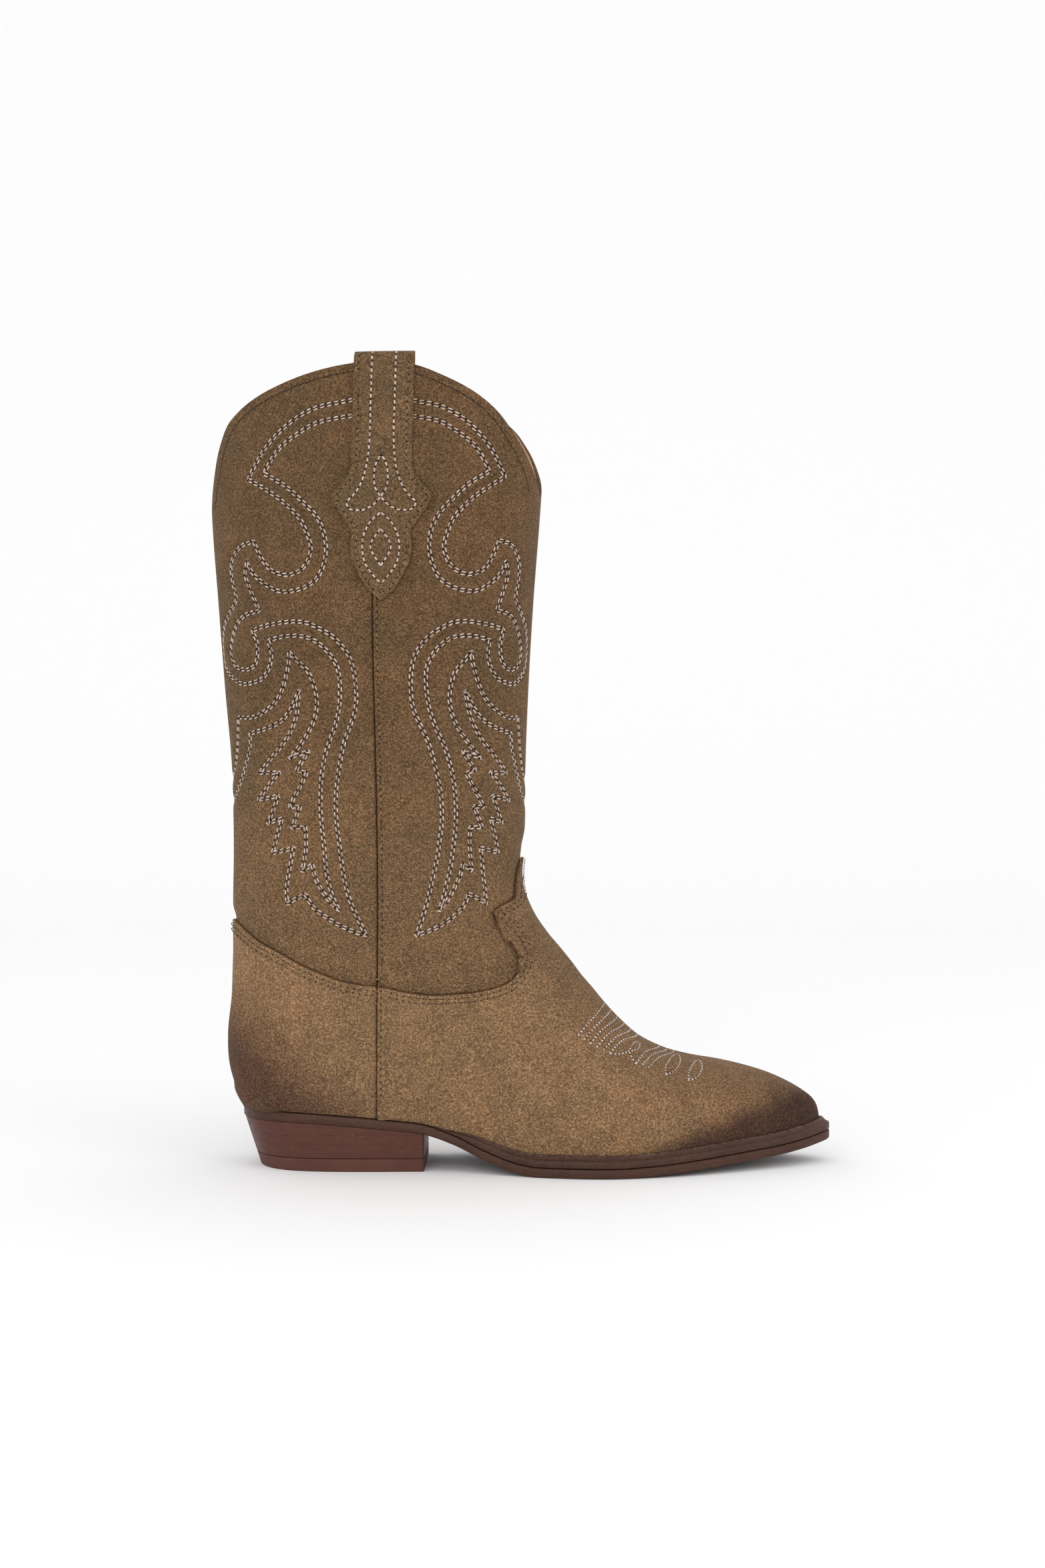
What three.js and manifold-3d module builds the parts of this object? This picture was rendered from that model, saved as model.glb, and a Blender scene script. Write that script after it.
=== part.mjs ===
// A right cowboy boot in suede: a pull-on shaft of two panels, a vamp and a heel cover lapped over them,
// leather linings and stiffeners inside, a welted leather sole and a low stacked heel.
//
// Millimetres. +X points to the toe, +Z up and -Y to the wearer's outer side. The origin is on the floor, under the
// middle of the boot's length and of its sole's width.
//
// The upper is one smooth form, lofted through the stations below. Each leather is a layer of that form, so many
// millimetres under its outer face, cut to its pattern by an outline drawn from the side.

import * as THREE from "three";
import { mergeVertices } from "three/addons/utils/BufferGeometryUtils.js";
import Module from "manifold-3d";

const wasm = await Module();
wasm.setup();

// ---------------------------------------------------------------- driving dimensions

const footLength = 279.2; // outsole, heel to toe
const shaftTop = 371.4; // highest point of the collar above the floor

// Every outline and place below is drawn at one size. Its lengths are graded to footLength, and its heights above the
// ankle to shaftTop.
const drawn = { footLength: 279.2, shaftTop: 371.4, ankleZ: 150 };
const along = (x) => (x * footLength) / drawn.footLength;
const upwards = (z) => (z > drawn.ankleZ
  ? drawn.ankleZ + ((z - drawn.ankleZ) * (shaftTop - drawn.ankleZ)) / (drawn.shaftTop - drawn.ankleZ)
  : z);
const gradedSide = (outline) => outline.map(([x, z]) => [along(x), upwards(z)]);

const gap = 0.3; // air between two pieces that touch

const upperLeather = 1.5; // suede of the shaft, vamp and heel cover
const liningLeather = 1.2;
const stiffenerBoard = 1.2; // toe puff and heel stiffener
const stiffenerSkive = 0.15; // shaved off under the stiffeners' turned-in edge
const strapLeather = 1.8;
const lapLength = 16; // how far in from its edge the vamp stands clear of the shaft tucked in under it
const lapEase = 18; // length over which it then comes back down to the lining
const lastingMargin = 12; // upper and lining turned in under the insole

const outsoleThickness = 4.5;
const weltThickness = 3.0;
const weltRidge = 2.6; // how far the welt's inner lip stands above its edge
const weltLip = 2.4; // width of that lip's sloping shoulder
const insoleThickness = 1.8;
const sockThickness = 1.0;
const heelReach = 0.8; // outsole beyond the upper at the heel
const foreReach = 5.8; // and around the forefoot
const weltStartX = along(-40); // the welt grows out of the waist over weltRamp
const weltRamp = 22;

const breastX = along(-45.5); // front face of the heel
const topLiftHeight = 6;
const heelSlope = 0.32; // how far the heel's back leans in for each millimetre down
const heelSideSlope = 0.1;

const nailRadius = 1.1;
const nailLength = 19;
const nailHeadRadius = 2.1;
const nailHeadHeight = 0.5;
const fillerEase = 1; // cork filler short of the margin round it
const insoleEase = 1.2; // and insole short of the lining
const nailPlaces = [[-114, 0], [-100, 12], [-100, -12], [-76, 14], [-76, -14], [-60, 0]]
  .map(([x, y]) => [along(x), y]);

const shankWidth = 14;
const shankThickness = 1.4;
const shankStartX = along(-108);
const shankEndX = along(6);

const strapHalfWidth = 13.7;
const strapRise = 4.6; // top of the strap's loop above the collar
const strapInsideLength = 62;
const strapCentreX = along(-57);
const strapLean = 0.032; // how far forward the strap's centre line leans for each millimetre up

const twistDegrees = 7.5; // the soft shaft stands turned a little on the foot
const twistFromZ = 120;
const twistToZ = upwards(345);
const twistCentreX = along(-68);

// The outsole's plan: x, centre line's y, half width.
const solePlan = [
  [-131.8, 0, 0], [-123.3, 0, 20.6], [-111.7, 0, 27.5], [-95, -0.2, 30.2], [-72, -1, 30], [-45, -1.8, 28.8],
  [-25, -2.8, 31.2], [-5, -3.5, 37], [15, -3, 43], [35, -1.5, 47], [52, 0.8, 47.7], [70, 2.3, 44.7],
  [90, 3.8, 38], [110, 5, 29], [126, 5.6, 20.4], [138, 5.9, 12], [146.2, 6, 0],
].map(([x, y, half]) => [along(x), y, half]);

// Height of the outsole's underside along the boot. It is flat on the floor under the ball.
const soleUnderside = [
  [-134, 23.6], [-105, 22.8], [-80, 21.2], [-60, 19.3], [-45.5, 17.4], [-31, 12.6], [-18, 6.6], [-5, 2],
  [6, 0], [14, 0], [38, 0], [46, 0], [62, 0.9], [80, 2.3], [104, 4.6], [118, 5.8], [132, 7.8], [147, 10.8],
].map(([x, z]) => [along(x), z]);

// The upper's cross-sections, from above the collar to the toe. Each one joins a point of the front line (x, z) to a
// point of the back line, which runs down the heel and then forward along the underside, where its z is worked out.
// Then the widest half width, how far down the section that is, as a share, and the roundness of the section.
const under = null;
const stations = [
  [13.9, 390, -150.6, 390, 43.5, 0.5, 2.2],
  [11.2, 345, -148.6, 345, 43.0, 0.5, 2.2],
  [8.5, 305, -147.7, 305, 42.5, 0.5, 2.2],
  [5.3, 265, -144.4, 265, 41.5, 0.5, 2.2],
  [2.9, 225, -141.0, 225, 40.0, 0.5, 2.2],
  [1.5, 190, -137.7, 190, 38.3, 0.5, 2.2],
  [1.3, 165, -136.8, 165, 37.0, 0.5, 2.2],
  [0.6, 148, -136.6, 146, 36.0, 0.5, 2.15],
  [-0.4, 138, -136.9, 124, 35.0, 0.5, 2.1],
  [0.2, 130, -136.5, 102, 34.0, 0.5, 2.1],
  [2.3, 123, -137.4, 81, 33.2, 0.5, 2.15],
  [4.9, 117.4, -139.3, 61, 32.8, 0.5, 2.25],
  [7.7, 112.3, -137.8, 44, 32.8, 0.5, 2.4],
  [11.5, 106.7, -131, under, 33.0, 0.5, 2.5],
  [13.0, 104.9, -123.8, under, 33.0, 0.51, 2.3],
  [15.0, 103, -112, under, 33.2, 0.52, 2.15],
  [16.7, 101.1, -98, under, 33.2, 0.53, 2.1],
  [19.4, 98.6, -81, under, 33.2, 0.54, 2.05],
  [22.6, 95.2, -64, under, 33.4, 0.56, 2.0],
  [27.0, 89.8, -44, under, 33.9, 0.58, 2.0],
  [32.6, 83.5, -24, under, 35.4, 0.62, 2.0],
  [38.8, 76, -5, under, 37.6, 0.66, 2.0],
  [46.0, 68.3, 14, under, 40.6, 0.7, 2.0],
  [55.1, 60.3, 33, under, 43.2, 0.74, 2.0],
  [67.3, 54, 53, under, 43.4, 0.76, 2.05],
  [79.9, 50.5, 71, under, 39.8, 0.77, 2.1],
  [93.0, 48.2, 88, under, 33.6, 0.77, 2.15],
  [105.5, 45.3, 103.5, under, 27.0, 0.76, 2.2],
  [117.0, 41.7, 116.5, under, 20.4, 0.74, 2.2],
  [126.6, 37.4, 126.2, under, 15.0, 0.72, 2.2],
  [133.8, 33.1, 132.8, under, 10.4, 0.7, 2.2],
  [138.4, 29.2, 136.8, under, 6.8, 0.65, 2.1],
  [140.4, 24.8, 138.8, under, 3.2, 0.6, 2.0],
].map(([frontX, frontZ, backX, backZ, ...girth]) => [
  along(frontX), upwards(frontZ), along(backX), backZ === under ? under : upwards(backZ), ...girth,
]);
const sidePoints = 9; // points down each side of a section
const cornerRoom = 6; // least distance from the lowest of them to the bottom edge

// Outlines seen from the side, x and z.
const collarLine = gradedSide([
  [-160, 302], [-146.8, 309], [-145.2, 316], [-143.4, 324], [-140.8, 333.4], [-135.4, 344.8], [-129.6, 350.5],
  [-121.5, 355.8], [-110, 361], [-93.6, 366.4], [-76, 370], [-58, 371.4], [-43, 369.4], [-31.6, 365.2],
  [-19.6, 359.4], [-11.3, 353.6], [-5.6, 347.9], [-1.6, 342.2], [2.2, 336], [4.9, 330.3], [7, 325], [8.6, 319.5],
  [9.2, 314], [9.8, 309], [20, 300],
]);
// The upper edge of the heel cover and then of the vamp, whose tongue climbs to a peak on the front of the shaft.
const coverLine = gradedSide([
  [-160, 125], [-136.5, 115], [-123, 106], [-113, 101], [-101.5, 95], [-91.5, 91], [-82.8, 88], [-74, 86.3],
  [-66, 85.6], [-61.8, 85], [-53, 83], [-43, 81.8], [-32.3, 82], [-22.5, 82.7], [-11.7, 84.8], [-4.9, 88],
  [-0.6, 93.9], [0, 99.4], [-2.8, 106.2], [-8.3, 112.4], [-12.8, 117.4], [-13.4, 119.6], [-10.5, 122],
  [-3.4, 125.7], [-2.8, 131.5], [-1.2, 140], [2.6, 149.5], [12, 162],
]);
// The shaft panels' lower edge, hidden under the heel cover and vamp.
const tuckedLine = gradedSide([
  [-160, 116], [-136.5, 107], [-120, 96.5], [-100, 87], [-82, 80.5], [-66, 78], [-43, 74], [-22, 75], [-7, 78.5],
  [3, 85], [8, 93], [9, 101], [12, 107], [30, 114],
]);
const sideSeam = gradedSide([[-66.8, 0], [-66.6, 50], [-66.4, 86], [-65.4, 208], [-64.2, 262], [-58, 372], [-57, 400]]);
const liningSeam = gradedSide([[-160, 104], [-100, 97], [-66, 94], [-20, 99], [10, 112], [40, 130]]);

// A pull strap's outer end: depth below the collar's top and half width, down to the pointed tip.
const strapEnd = [
  [47.9, 13.7], [52.4, 15.2], [56.4, 18.6], [59.6, 22], [61.9, 22.7], [65.4, 21.2], [71.8, 17], [76.4, 13.6],
  [78.9, 13.2], [84.4, 13.9], [90.4, 13.2], [97.4, 10], [103.4, 6.2], [108.9, 0.6],
];

// ---------------------------------------------------------------- curves

// A smooth function through knots [x, y], with each knot's slope taken from its neighbours.
function smooth(knots) {
  const last = knots.length - 1;
  const slope = knots.map((_, i) => {
    const a = knots[Math.max(i - 1, 0)];
    const b = knots[Math.min(i + 1, last)];
    return (b[1] - a[1]) / (b[0] - a[0]);
  });
  return (x) => {
    const clamped = Math.min(Math.max(x, knots[0][0]), knots[last][0]);
    let i = 0;
    while (i < last - 1 && clamped > knots[i + 1][0]) i++;
    const span = knots[i + 1][0] - knots[i][0];
    const u = (clamped - knots[i][0]) / span;
    const rise = u * u * (3 - 2 * u);
    return knots[i][1] * (1 - rise) + knots[i + 1][1] * rise
      + span * (slope[i] * u * (1 - u) ** 2 - slope[i + 1] * u * u * (1 - u));
  };
}

const ramp = (from, to, x) => THREE.MathUtils.smoothstep((x - from) / (to - from), 0, 1);

// The sole's plan drawn in by a distance, which may change along the boot: { from, to, centre(x), half(x) }.
const planCentre = smooth(solePlan.map(([x, y]) => [x, y]));
const planHalfSquared = smooth(solePlan.map(([x, , half]) => [x, half * half]));
function insetPlan(distance) {
  const half = (x) => {
    const inwards = distance(x);
    let least = Infinity;
    for (let k = -6; k <= 6; k++) {
      const edge = Math.sqrt(Math.max(planHalfSquared(x + (inwards * k) / 6), 0));
      least = Math.min(least, edge - inwards * Math.sqrt(1 - (k / 6) ** 2));
    }
    return least;
  };
  let from = solePlan[0][0];
  let to = solePlan[solePlan.length - 1][0];
  while (half(from) < 0.5) from += 0.1;
  while (half(to) < 0.5) to -= 0.1;
  return { from, to, centre: planCentre, half: (x) => Math.max(half(x), 0) };
}

const featherReach = (x) => heelReach + (foreReach - heelReach) * ramp(along(-62), along(12), x);
const soleEdge = insetPlan(() => 0);
const featherEdge = insetPlan(featherReach);
const soleCurve = smooth(soleUnderside);
const soleLow = (x) => Math.max(soleCurve(x), 0);
const weltShare = (x) => ramp(weltStartX, weltStartX + weltRamp, x);
const soleTop = (x) => soleLow(x) + outsoleThickness;
const featherZ = (x) => soleTop(x) + gap + weltShare(x) * (weltThickness + gap);

// ---------------------------------------------------------------- solids

function toSolid(geometry) {
  geometry.deleteAttribute("normal");
  geometry.deleteAttribute("uv");
  const merged = mergeVertices(geometry, 1e-4);
  const made = new wasm.Manifold(new wasm.Mesh({
    numProp: 3,
    vertProperties: merged.attributes.position.array,
    triVerts: new Uint32Array(merged.index.array),
  }));
  return made;
}

// A closed solid through loops of points, each with as many points, capped at both ends by the flat faces that
// capFaces gives for a loop. Between two loops each patch is split along its shorter diagonal, measured on guide.
function loft(loops, capFaces, guide = loops) {
  const count = loops[0].length;
  const index = [];
  for (let i = 0; i + 1 < loops.length; i++) {
    for (let j = 0; j < count; j++) {
      const next = (j + 1) % count;
      const a = i * count + j;
      const b = i * count + next;
      const down = guide[i][j].distanceTo(guide[i + 1][next]) < guide[i][next].distanceTo(guide[i + 1][j]);
      if (down) index.push(a, b, b + count, a, b + count, a + count);
      else index.push(a, b, a + count, b, b + count, a + count);
    }
  }
  const lastLoop = (loops.length - 1) * count;
  for (const [a, b, c] of capFaces) {
    index.push(c, b, a);
    index.push(lastLoop + a, lastLoop + b, lastLoop + c);
  }
  const geometry = new THREE.BufferGeometry().setFromPoints(loops.flat());
  geometry.setIndex(index);
  let made = toSolid(geometry);
  if (made.volume() < 0) {
    geometry.setIndex(index.map((_, k) => index[k - (k % 3) + 2 - (k % 3)]));
    made = toSolid(geometry);
  }
  return made;
}

// Faces across a loop whose two halves mirror each other, point j against point count - j.
function ladderFaces(count) {
  const faces = [];
  for (let low = 0, high = count; high - low > 1;) {
    const next = low + 1;
    const back = high - 1;
    if (back > next) faces.push([high % count, low, next], [high % count, next, back]);
    else faces.push([high % count, low, next]);
    low = next;
    high = back;
  }
  return faces.filter(([a, b, c]) => a !== b && b !== c && a !== c);
}

const point = (x, y, z) => new THREE.Vector3(x, y, z);

function box(x0, x1, y0, y1, z0, z1) {
  const geometry = new THREE.BoxGeometry(x1 - x0, y1 - y0, z1 - z0);
  geometry.translate((x0 + x1) / 2, (y0 + y1) / 2, (z0 + z1) / 2);
  return toSolid(geometry);
}

// An outline seen from the side, as a prism that runs across the boot from y0 to y1.
function prism(outline, y0 = -80, y1 = 80) {
  const shape = new THREE.Shape(outline.map(([x, z]) => new THREE.Vector2(x, z)));
  const geometry = new THREE.ExtrudeGeometry(shape, { depth: y1 - y0, bevelEnabled: false });
  geometry.rotateX(Math.PI / 2);
  geometry.translate(0, y1, 0);
  return toSolid(geometry);
}

// A plate under the foot: plan outline between two heights that follow the boot's length.
function plate(plan, low, high, fromX = plan.from, toX = plan.to, steps = 26) {
  const start = Math.max(fromX, plan.from);
  const end = Math.min(toX, plan.to);
  const loops = [];
  for (let i = 0; i <= steps; i++) {
    const x = start + (end - start) * (1 - Math.cos((Math.PI * i) / steps)) / 2;
    const left = plan.centre(x) - plan.half(x);
    const right = plan.centre(x) + plan.half(x);
    loops.push([
      point(x, left, high(x)), point(x, left, low(x)), point(x, right, low(x)), point(x, right, high(x)),
    ]);
  }
  return loft(loops, [[0, 1, 2], [0, 2, 3]]);
}

// ---------------------------------------------------------------- the upper's form

const halfAcross = (s, half, sole, widest, power) => (s < widest
  ? half * (1 - (1 - s / widest) ** power) ** (1 / power)
  : sole + (half - sole) * (1 - ((s - widest) / (1 - widest)) ** power) ** (1 / power));

// One section of the form as a loop: down the outer side, across the underside and up the inner side.
function section([frontX, frontZ, backX, backZ, half, widest, power]) {
  const onUnderside = backZ === under;
  const bottomZ = onUnderside ? featherZ(backX) : backZ;
  const sole = onUnderside ? Math.max(featherEdge.half(backX), 1) : 1;
  const centre = onUnderside ? featherEdge.centre(backX) : 0;
  const widestHalf = Math.max(half, sole + 0.2);
  const share = (j) => (1 - Math.cos((Math.PI * j) / sidePoints)) / 2;
  const room = cornerRoom / Math.hypot(frontX - backX, frontZ - bottomZ);
  const squeeze = Math.min(1, (1 - room) / share(sidePoints - 1));
  const side = [];
  for (let j = 0; j <= sidePoints; j++) {
    const s = j < sidePoints ? share(j) * squeeze : 1;
    const across = halfAcross(s, widestHalf, sole, widest, power);
    side.push([frontX + (backX - frontX) * s, across, frontZ + (bottomZ - frontZ) * s]);
  }
  const outer = side.map(([x, y, z]) => point(x, centre - y, z));
  const inner = side.slice(1).reverse().map(([x, y, z]) => point(x, centre + y, z));
  return [...outer, ...inner];
}

const sections = stations.map(section);

// Which way is out at each point of each section, long enough to keep a layer's thickness round a corner.
const outwards = sections.map((loop, i) => loop.map((here, j) => {
  const count = loop.length;
  const along = sections[Math.min(i + 1, sections.length - 1)][j].clone()
    .sub(sections[Math.max(i - 1, 0)][j]);
  const before = here.clone().sub(loop[(j + count - 1) % count]);
  const after = loop[(j + 1) % count].clone().sub(here);
  const a = along.clone().cross(before).normalize();
  const b = along.clone().cross(after).normalize();
  return a.clone().add(b).divideScalar(1 + a.dot(b)).negate();
}));

const formFaces = ladderFaces(sections[0].length);
const toeTipX = stations[stations.length - 1][0];

// The form with its surface depth(x, z) millimetres further in. Sections too small for that depth are left out.
function form(depth) {
  const deepest = Math.max(depth(along(-40), 60), depth(along(120), 30), depth(along(-120), 50));
  const loops = [];
  sections.forEach((loop, i) => {
    const smallest = Math.min(stations[i][4], loop[0].distanceTo(loop[sidePoints]) / 2);
    if (smallest < deepest + 1) return;
    loops.push(loop.map((here, j) => here.clone().addScaledVector(outwards[i][j], -depth(here.x, here.z))));
  });
  const solid = loft(loops, formFaces, sections);
  return deepest > 0 ? solid.intersect(box(-200, toeTipX - 1.25 * deepest, -90, 90, -50, 600)) : solid;
}

const layer = (outer, inner) => form(outer).subtract(form(inner));

// How far a point seen from the side lies from an outline.
function distanceTo(line, x, z) {
  let least = Infinity;
  for (let i = 0; i + 1 < line.length; i++) {
    const [ax, az] = line[i];
    const [bx, bz] = line[i + 1];
    const u = THREE.MathUtils.clamp(
      ((x - ax) * (bx - ax) + (z - az) * (bz - az)) / ((bx - ax) ** 2 + (bz - az) ** 2), 0, 1);
    least = Math.min(least, Math.hypot(x - ax - u * (bx - ax), z - az - u * (bz - az)));
  }
  return least;
}

const constant = (depth) => () => depth;
const seamX = smooth(sideSeam.map(([x, z]) => [z, x]));

// The vamp and heel cover ride over the shaft's tucked-in edge and lie on the lining beyond it.
const coverDepth = (x, z) => -(upperLeather + gap) * (1 - ramp(lapLength, lapLength + lapEase, distanceTo(coverLine, x, z)));
// The lining stands further in where a stiffener lies behind it.
const stiffenerX = { toe: along(95), heel: along(-73) };
const stiffenerTopZ = 82;
const liningDepth = (x, z) => upperLeather + gap + (stiffenerBoard + gap) * Math.max(
  ramp(stiffenerX.toe - 34, stiffenerX.toe - 14, x),
  ramp(stiffenerX.heel + 36, stiffenerX.heel + 16, x) * ramp(stiffenerTopZ + 32, stiffenerTopZ + 14, z));
const deeper = (depth, by) => (x, z) => depth(x, z) + by;

const below = (line) => [...line, [200, line[line.length - 1][1]], [200, -60], [-200, -60], [-200, line[0][1]]];
const above = (line) => [...line, [200, line[line.length - 1][1]], [200, 600], [-200, 600], [-200, line[0][1]]];
const shifted = (line, dx, dz = 0) => line.map(([x, z]) => [x + dx, z + dz]);
const seamTop = sideSeam[sideSeam.length - 1][1];
const seamFront = (dx) => [...shifted(sideSeam, dx), [300, seamTop], [300, 0]];
const seamBack = (dx) => [...shifted(sideSeam, dx), [-300, seamTop], [-300, 0]];
const extended = (outline) => outline.map(([x, z]) => [x, z === 0 ? -60 : z >= seamTop ? 600 : z]);

const frontHalf = prism(extended(seamFront(gap / 2)));
const backHalf = prism(extended(seamBack(-gap / 2)));
const underCollar = prism(below(collarLine));
const belowCover = prism(below(coverLine));
const aboveTuck = prism(above(tuckedLine));
const aboveLiningSeam = prism(above(shifted(liningSeam, 0, gap / 2)));
const belowLiningSeam = prism(below(shifted(liningSeam, 0, -gap / 2)));

const insideDepth = upperLeather + liningLeather + stiffenerBoard + 3 * gap;
const marginEdge = insetPlan((x) => featherReach(x) + lastingMargin);
const fillerEdge = insetPlan((x) => featherReach(x) + lastingMargin + fillerEase);
const boardEdge = insetPlan((x) => featherReach(x) + insideDepth + insoleEase);
const boardLow = (x) => featherZ(x) + insideDepth;
const boardHigh = (x) => boardLow(x) + insoleThickness;

// The hole in the underside that the lasting margin leaves.
const lastedWindow = plate(marginEdge, (x) => featherZ(x) - 3, (x) => featherZ(x) + insideDepth + 1);

// ---------------------------------------------------------------- the upper's pieces

function shaftPanels() {
  const skin = layer(constant(0), constant(upperLeather)).intersect(underCollar).intersect(aboveTuck);
  return { front: skin.intersect(frontHalf), back: skin.intersect(backHalf) };
}

function footCovers() {
  const skin = layer(coverDepth, deeper(coverDepth, upperLeather)).intersect(belowCover).subtract(lastedWindow);
  return { vamp: skin.intersect(frontHalf), heelCover: skin.intersect(backHalf) };
}

function linings() {
  const skin = layer(liningDepth, deeper(liningDepth, liningLeather)).intersect(underCollar).subtract(lastedWindow);
  const high = skin.intersect(aboveLiningSeam);
  const low = skin.intersect(belowLiningSeam);
  return {
    shaftFront: high.intersect(frontHalf),
    shaftBack: high.intersect(backHalf),
    vamp: low.intersect(frontHalf),
    heel: low.intersect(backHalf),
  };
}

function stiffeners() {
  const depth = upperLeather + gap;
  const skived = plate(soleEdge, (x) => featherZ(x) + depth + stiffenerSkive, () => 120);
  const skin = layer(constant(depth), constant(depth + stiffenerBoard)).subtract(lastedWindow).intersect(skived);
  return {
    toe: skin.intersect(box(stiffenerX.toe, 200, -90, 90, -50, 100)),
    heel: skin.intersect(box(-200, stiffenerX.heel, -90, 90, -50, stiffenerTopZ)),
  };
}

// A strap folded over the collar, with its shaped end outside, a loop over the edge and a plain end inside.
// side is -1 for the outer side of the boot and 1 for the inner side.
function pullStrap(side) {
  const loopZ = shaftTop + strapRise;
  const outerFace = -(strapLeather + gap);
  const liningFace = upperLeather + liningLeather + 2 * gap;
  const innerFace = liningFace + strapLeather;
  const half = (u, z) => [strapCentreX + u + (z - shaftTop) * strapLean, z];
  const right = [half(strapHalfWidth, loopZ), ...strapEnd.map(([down, u]) => half(u, shaftTop - down))];
  const left = [...strapEnd].reverse().map(([down, u]) => half(-u, shaftTop - down));
  const y0 = side < 0 ? -80 : 1;
  const y1 = side < 0 ? -1 : 80;
  const outline = prism([...right, ...left, half(-strapHalfWidth, loopZ)], y0, y1);
  const insideBottomZ = shaftTop - strapInsideLength;
  const inside = box(strapCentreX - strapHalfWidth, strapCentreX + strapHalfWidth, y0, y1, insideBottomZ, loopZ);
  const loop = box(strapCentreX - strapHalfWidth, strapCentreX + strapHalfWidth, y0, y1, loopZ - strapLeather, loopZ);
  const outerLeg = layer(constant(outerFace), constant(-gap)).intersect(outline);
  const innerLeg = layer(constant(liningFace), constant(innerFace)).intersect(inside);
  const overTop = layer(constant(outerFace), constant(innerFace)).intersect(loop);
  return outerLeg.add(overTop).add(innerLeg);
}

// ---------------------------------------------------------------- the bottom

// The welt is a strip round the forefoot whose inner lip rises to meet the upper.
function welt() {
  const low = (x) => soleTop(x) + gap;
  const edgeZ = (x) => low(x) + Math.max(weltShare(x), 0.12) * weltThickness;
  const lipZ = (x) => edgeZ(x) + weltRidge * weltShare(x);
  const lipEdge = insetPlan(() => weltLip);
  const strip = plate(soleEdge, low, edgeZ, weltStartX);
  const lip = plate(lipEdge, low, lipZ, weltStartX);
  const core = plate(insetPlan((x) => featherReach(x) + lastingMargin), () => -5, (x) => lipZ(x) + 5);
  return strip.add(lip).subtract(form(constant(-gap))).subtract(core);
}

const nailHole = (x, y) => {
  const geometry = new THREE.CylinderGeometry(nailRadius + gap, nailRadius + gap, 60, 10);
  geometry.rotateX(Math.PI / 2);
  geometry.translate(x, y, 20);
  return toSolid(geometry);
};
const nailHoles = nailPlaces.map(([x, y]) => nailHole(x, y)).reduce((a, b) => a.add(b));

const outsole = () => plate(soleEdge, soleLow, soleTop, soleEdge.from, soleEdge.to, 40).subtract(nailHoles);
const insoleBoard = () => plate(boardEdge, boardLow, boardHigh).intersect(form(constant(insideDepth))).subtract(nailHoles);
const sockLiner = () => {
  const low = (x) => boardHigh(x) + nailHeadHeight + 2 * gap;
  return plate(boardEdge, low, (x) => low(x) + sockThickness).intersect(form(constant(insideDepth)));
};

function filler() {
  const low = (x) => soleTop(x) + gap;
  return plate(fillerEdge, low, (x) => boardLow(x) - gap, shankEndX + gap);
}

function shank() {
  const low = (x) => featherZ(x) + 1.2;
  const strip = plate(fillerEdge, low, (x) => low(x) + shankThickness, shankStartX, shankEndX);
  const width = box(-200, 200, -shankWidth / 2 - 1, shankWidth / 2 - 1, -10, 60);
  return strip.intersect(width).subtract(nailHoles);
}

// The heel tapers downwards, more at its back than at its sides.
function heelTaper() {
  const rings = [0, 30].map((z) => {
    const drop = soleLow(-120) - z;
      const back = soleEdge.from + 0.4 + heelSlope * drop;
    const ring = [];
    const steps = 12;
    const widthAt = (f) => soleEdge.half(soleEdge.from + 0.05 + f * (breastX - soleEdge.from)) - 0.4 - heelSideSlope * drop;
    for (let i = 0; i <= steps; i++) {
      const f = (1 - Math.cos((Math.PI / 2) * (i / steps)));
      const x = back + (breastX - back) * f;
      ring.push([x, Math.max(widthAt(f), 0.4)]);
    }
    const outer = ring.map(([x, y]) => point(x, soleEdge.centre(x) - y, z));
    const inner = ring.reverse().map(([x, y]) => point(x, soleEdge.centre(x) + y, z));
    return [...outer, ...inner];
  });
  const count = rings[0].length;
  const faces = [];
  for (let i = 0; i + 1 < count / 2; i++) {
    faces.push([i, i + 1, count - 2 - i], [i, count - 2 - i, count - 1 - i]);
  }
  return loft(rings, faces);
}

function heel() {
  const taper = heelTaper();
  const aboveSole = plate(
    { from: soleEdge.from - 20, to: 0, centre: () => 0, half: () => 60 }, (x) => soleLow(x) - gap, () => 80);
  return {
    block: taper.intersect(box(-200, 0, -60, 60, topLiftHeight + gap, 60)).subtract(aboveSole).subtract(nailHoles),
    topLift: taper.intersect(box(-200, 0, -60, 60, 0, topLiftHeight)),
  };
}

function nail(x) {
  const headZ = boardHigh(x) + gap;
  const radius = nailRadius;
  const profile = [
    [0, headZ - nailLength], [radius * 0.3, headZ - nailLength], [radius, headZ - nailLength + 2.5], [radius, headZ],
    [nailHeadRadius, headZ], [nailHeadRadius, headZ + nailHeadHeight], [0, headZ + nailHeadHeight],
  ].map(([r, z]) => new THREE.Vector2(r, z));
  const geometry = new THREE.LatheGeometry(profile, 10);
  geometry.rotateX(Math.PI / 2);
  return geometry;
}

// ---------------------------------------------------------------- materials and assembly

const suede = new THREE.MeshStandardMaterial({ color: 0x7b6142, roughness: 1, metalness: 0 });
const liningMaterial = new THREE.MeshStandardMaterial({ color: 0xc9966a, roughness: 0.75, metalness: 0 });
const boardMaterial = new THREE.MeshStandardMaterial({ color: 0xb59b76, roughness: 0.9, metalness: 0 });
const soleMaterial = new THREE.MeshStandardMaterial({ color: 0x56342a, roughness: 0.45, metalness: 0 });
const corkMaterial = new THREE.MeshStandardMaterial({ color: 0xa9794f, roughness: 0.95, metalness: 0 });
const steel = new THREE.MeshStandardMaterial({ color: 0xa8a9ab, roughness: 0.35, metalness: 1 });

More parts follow.
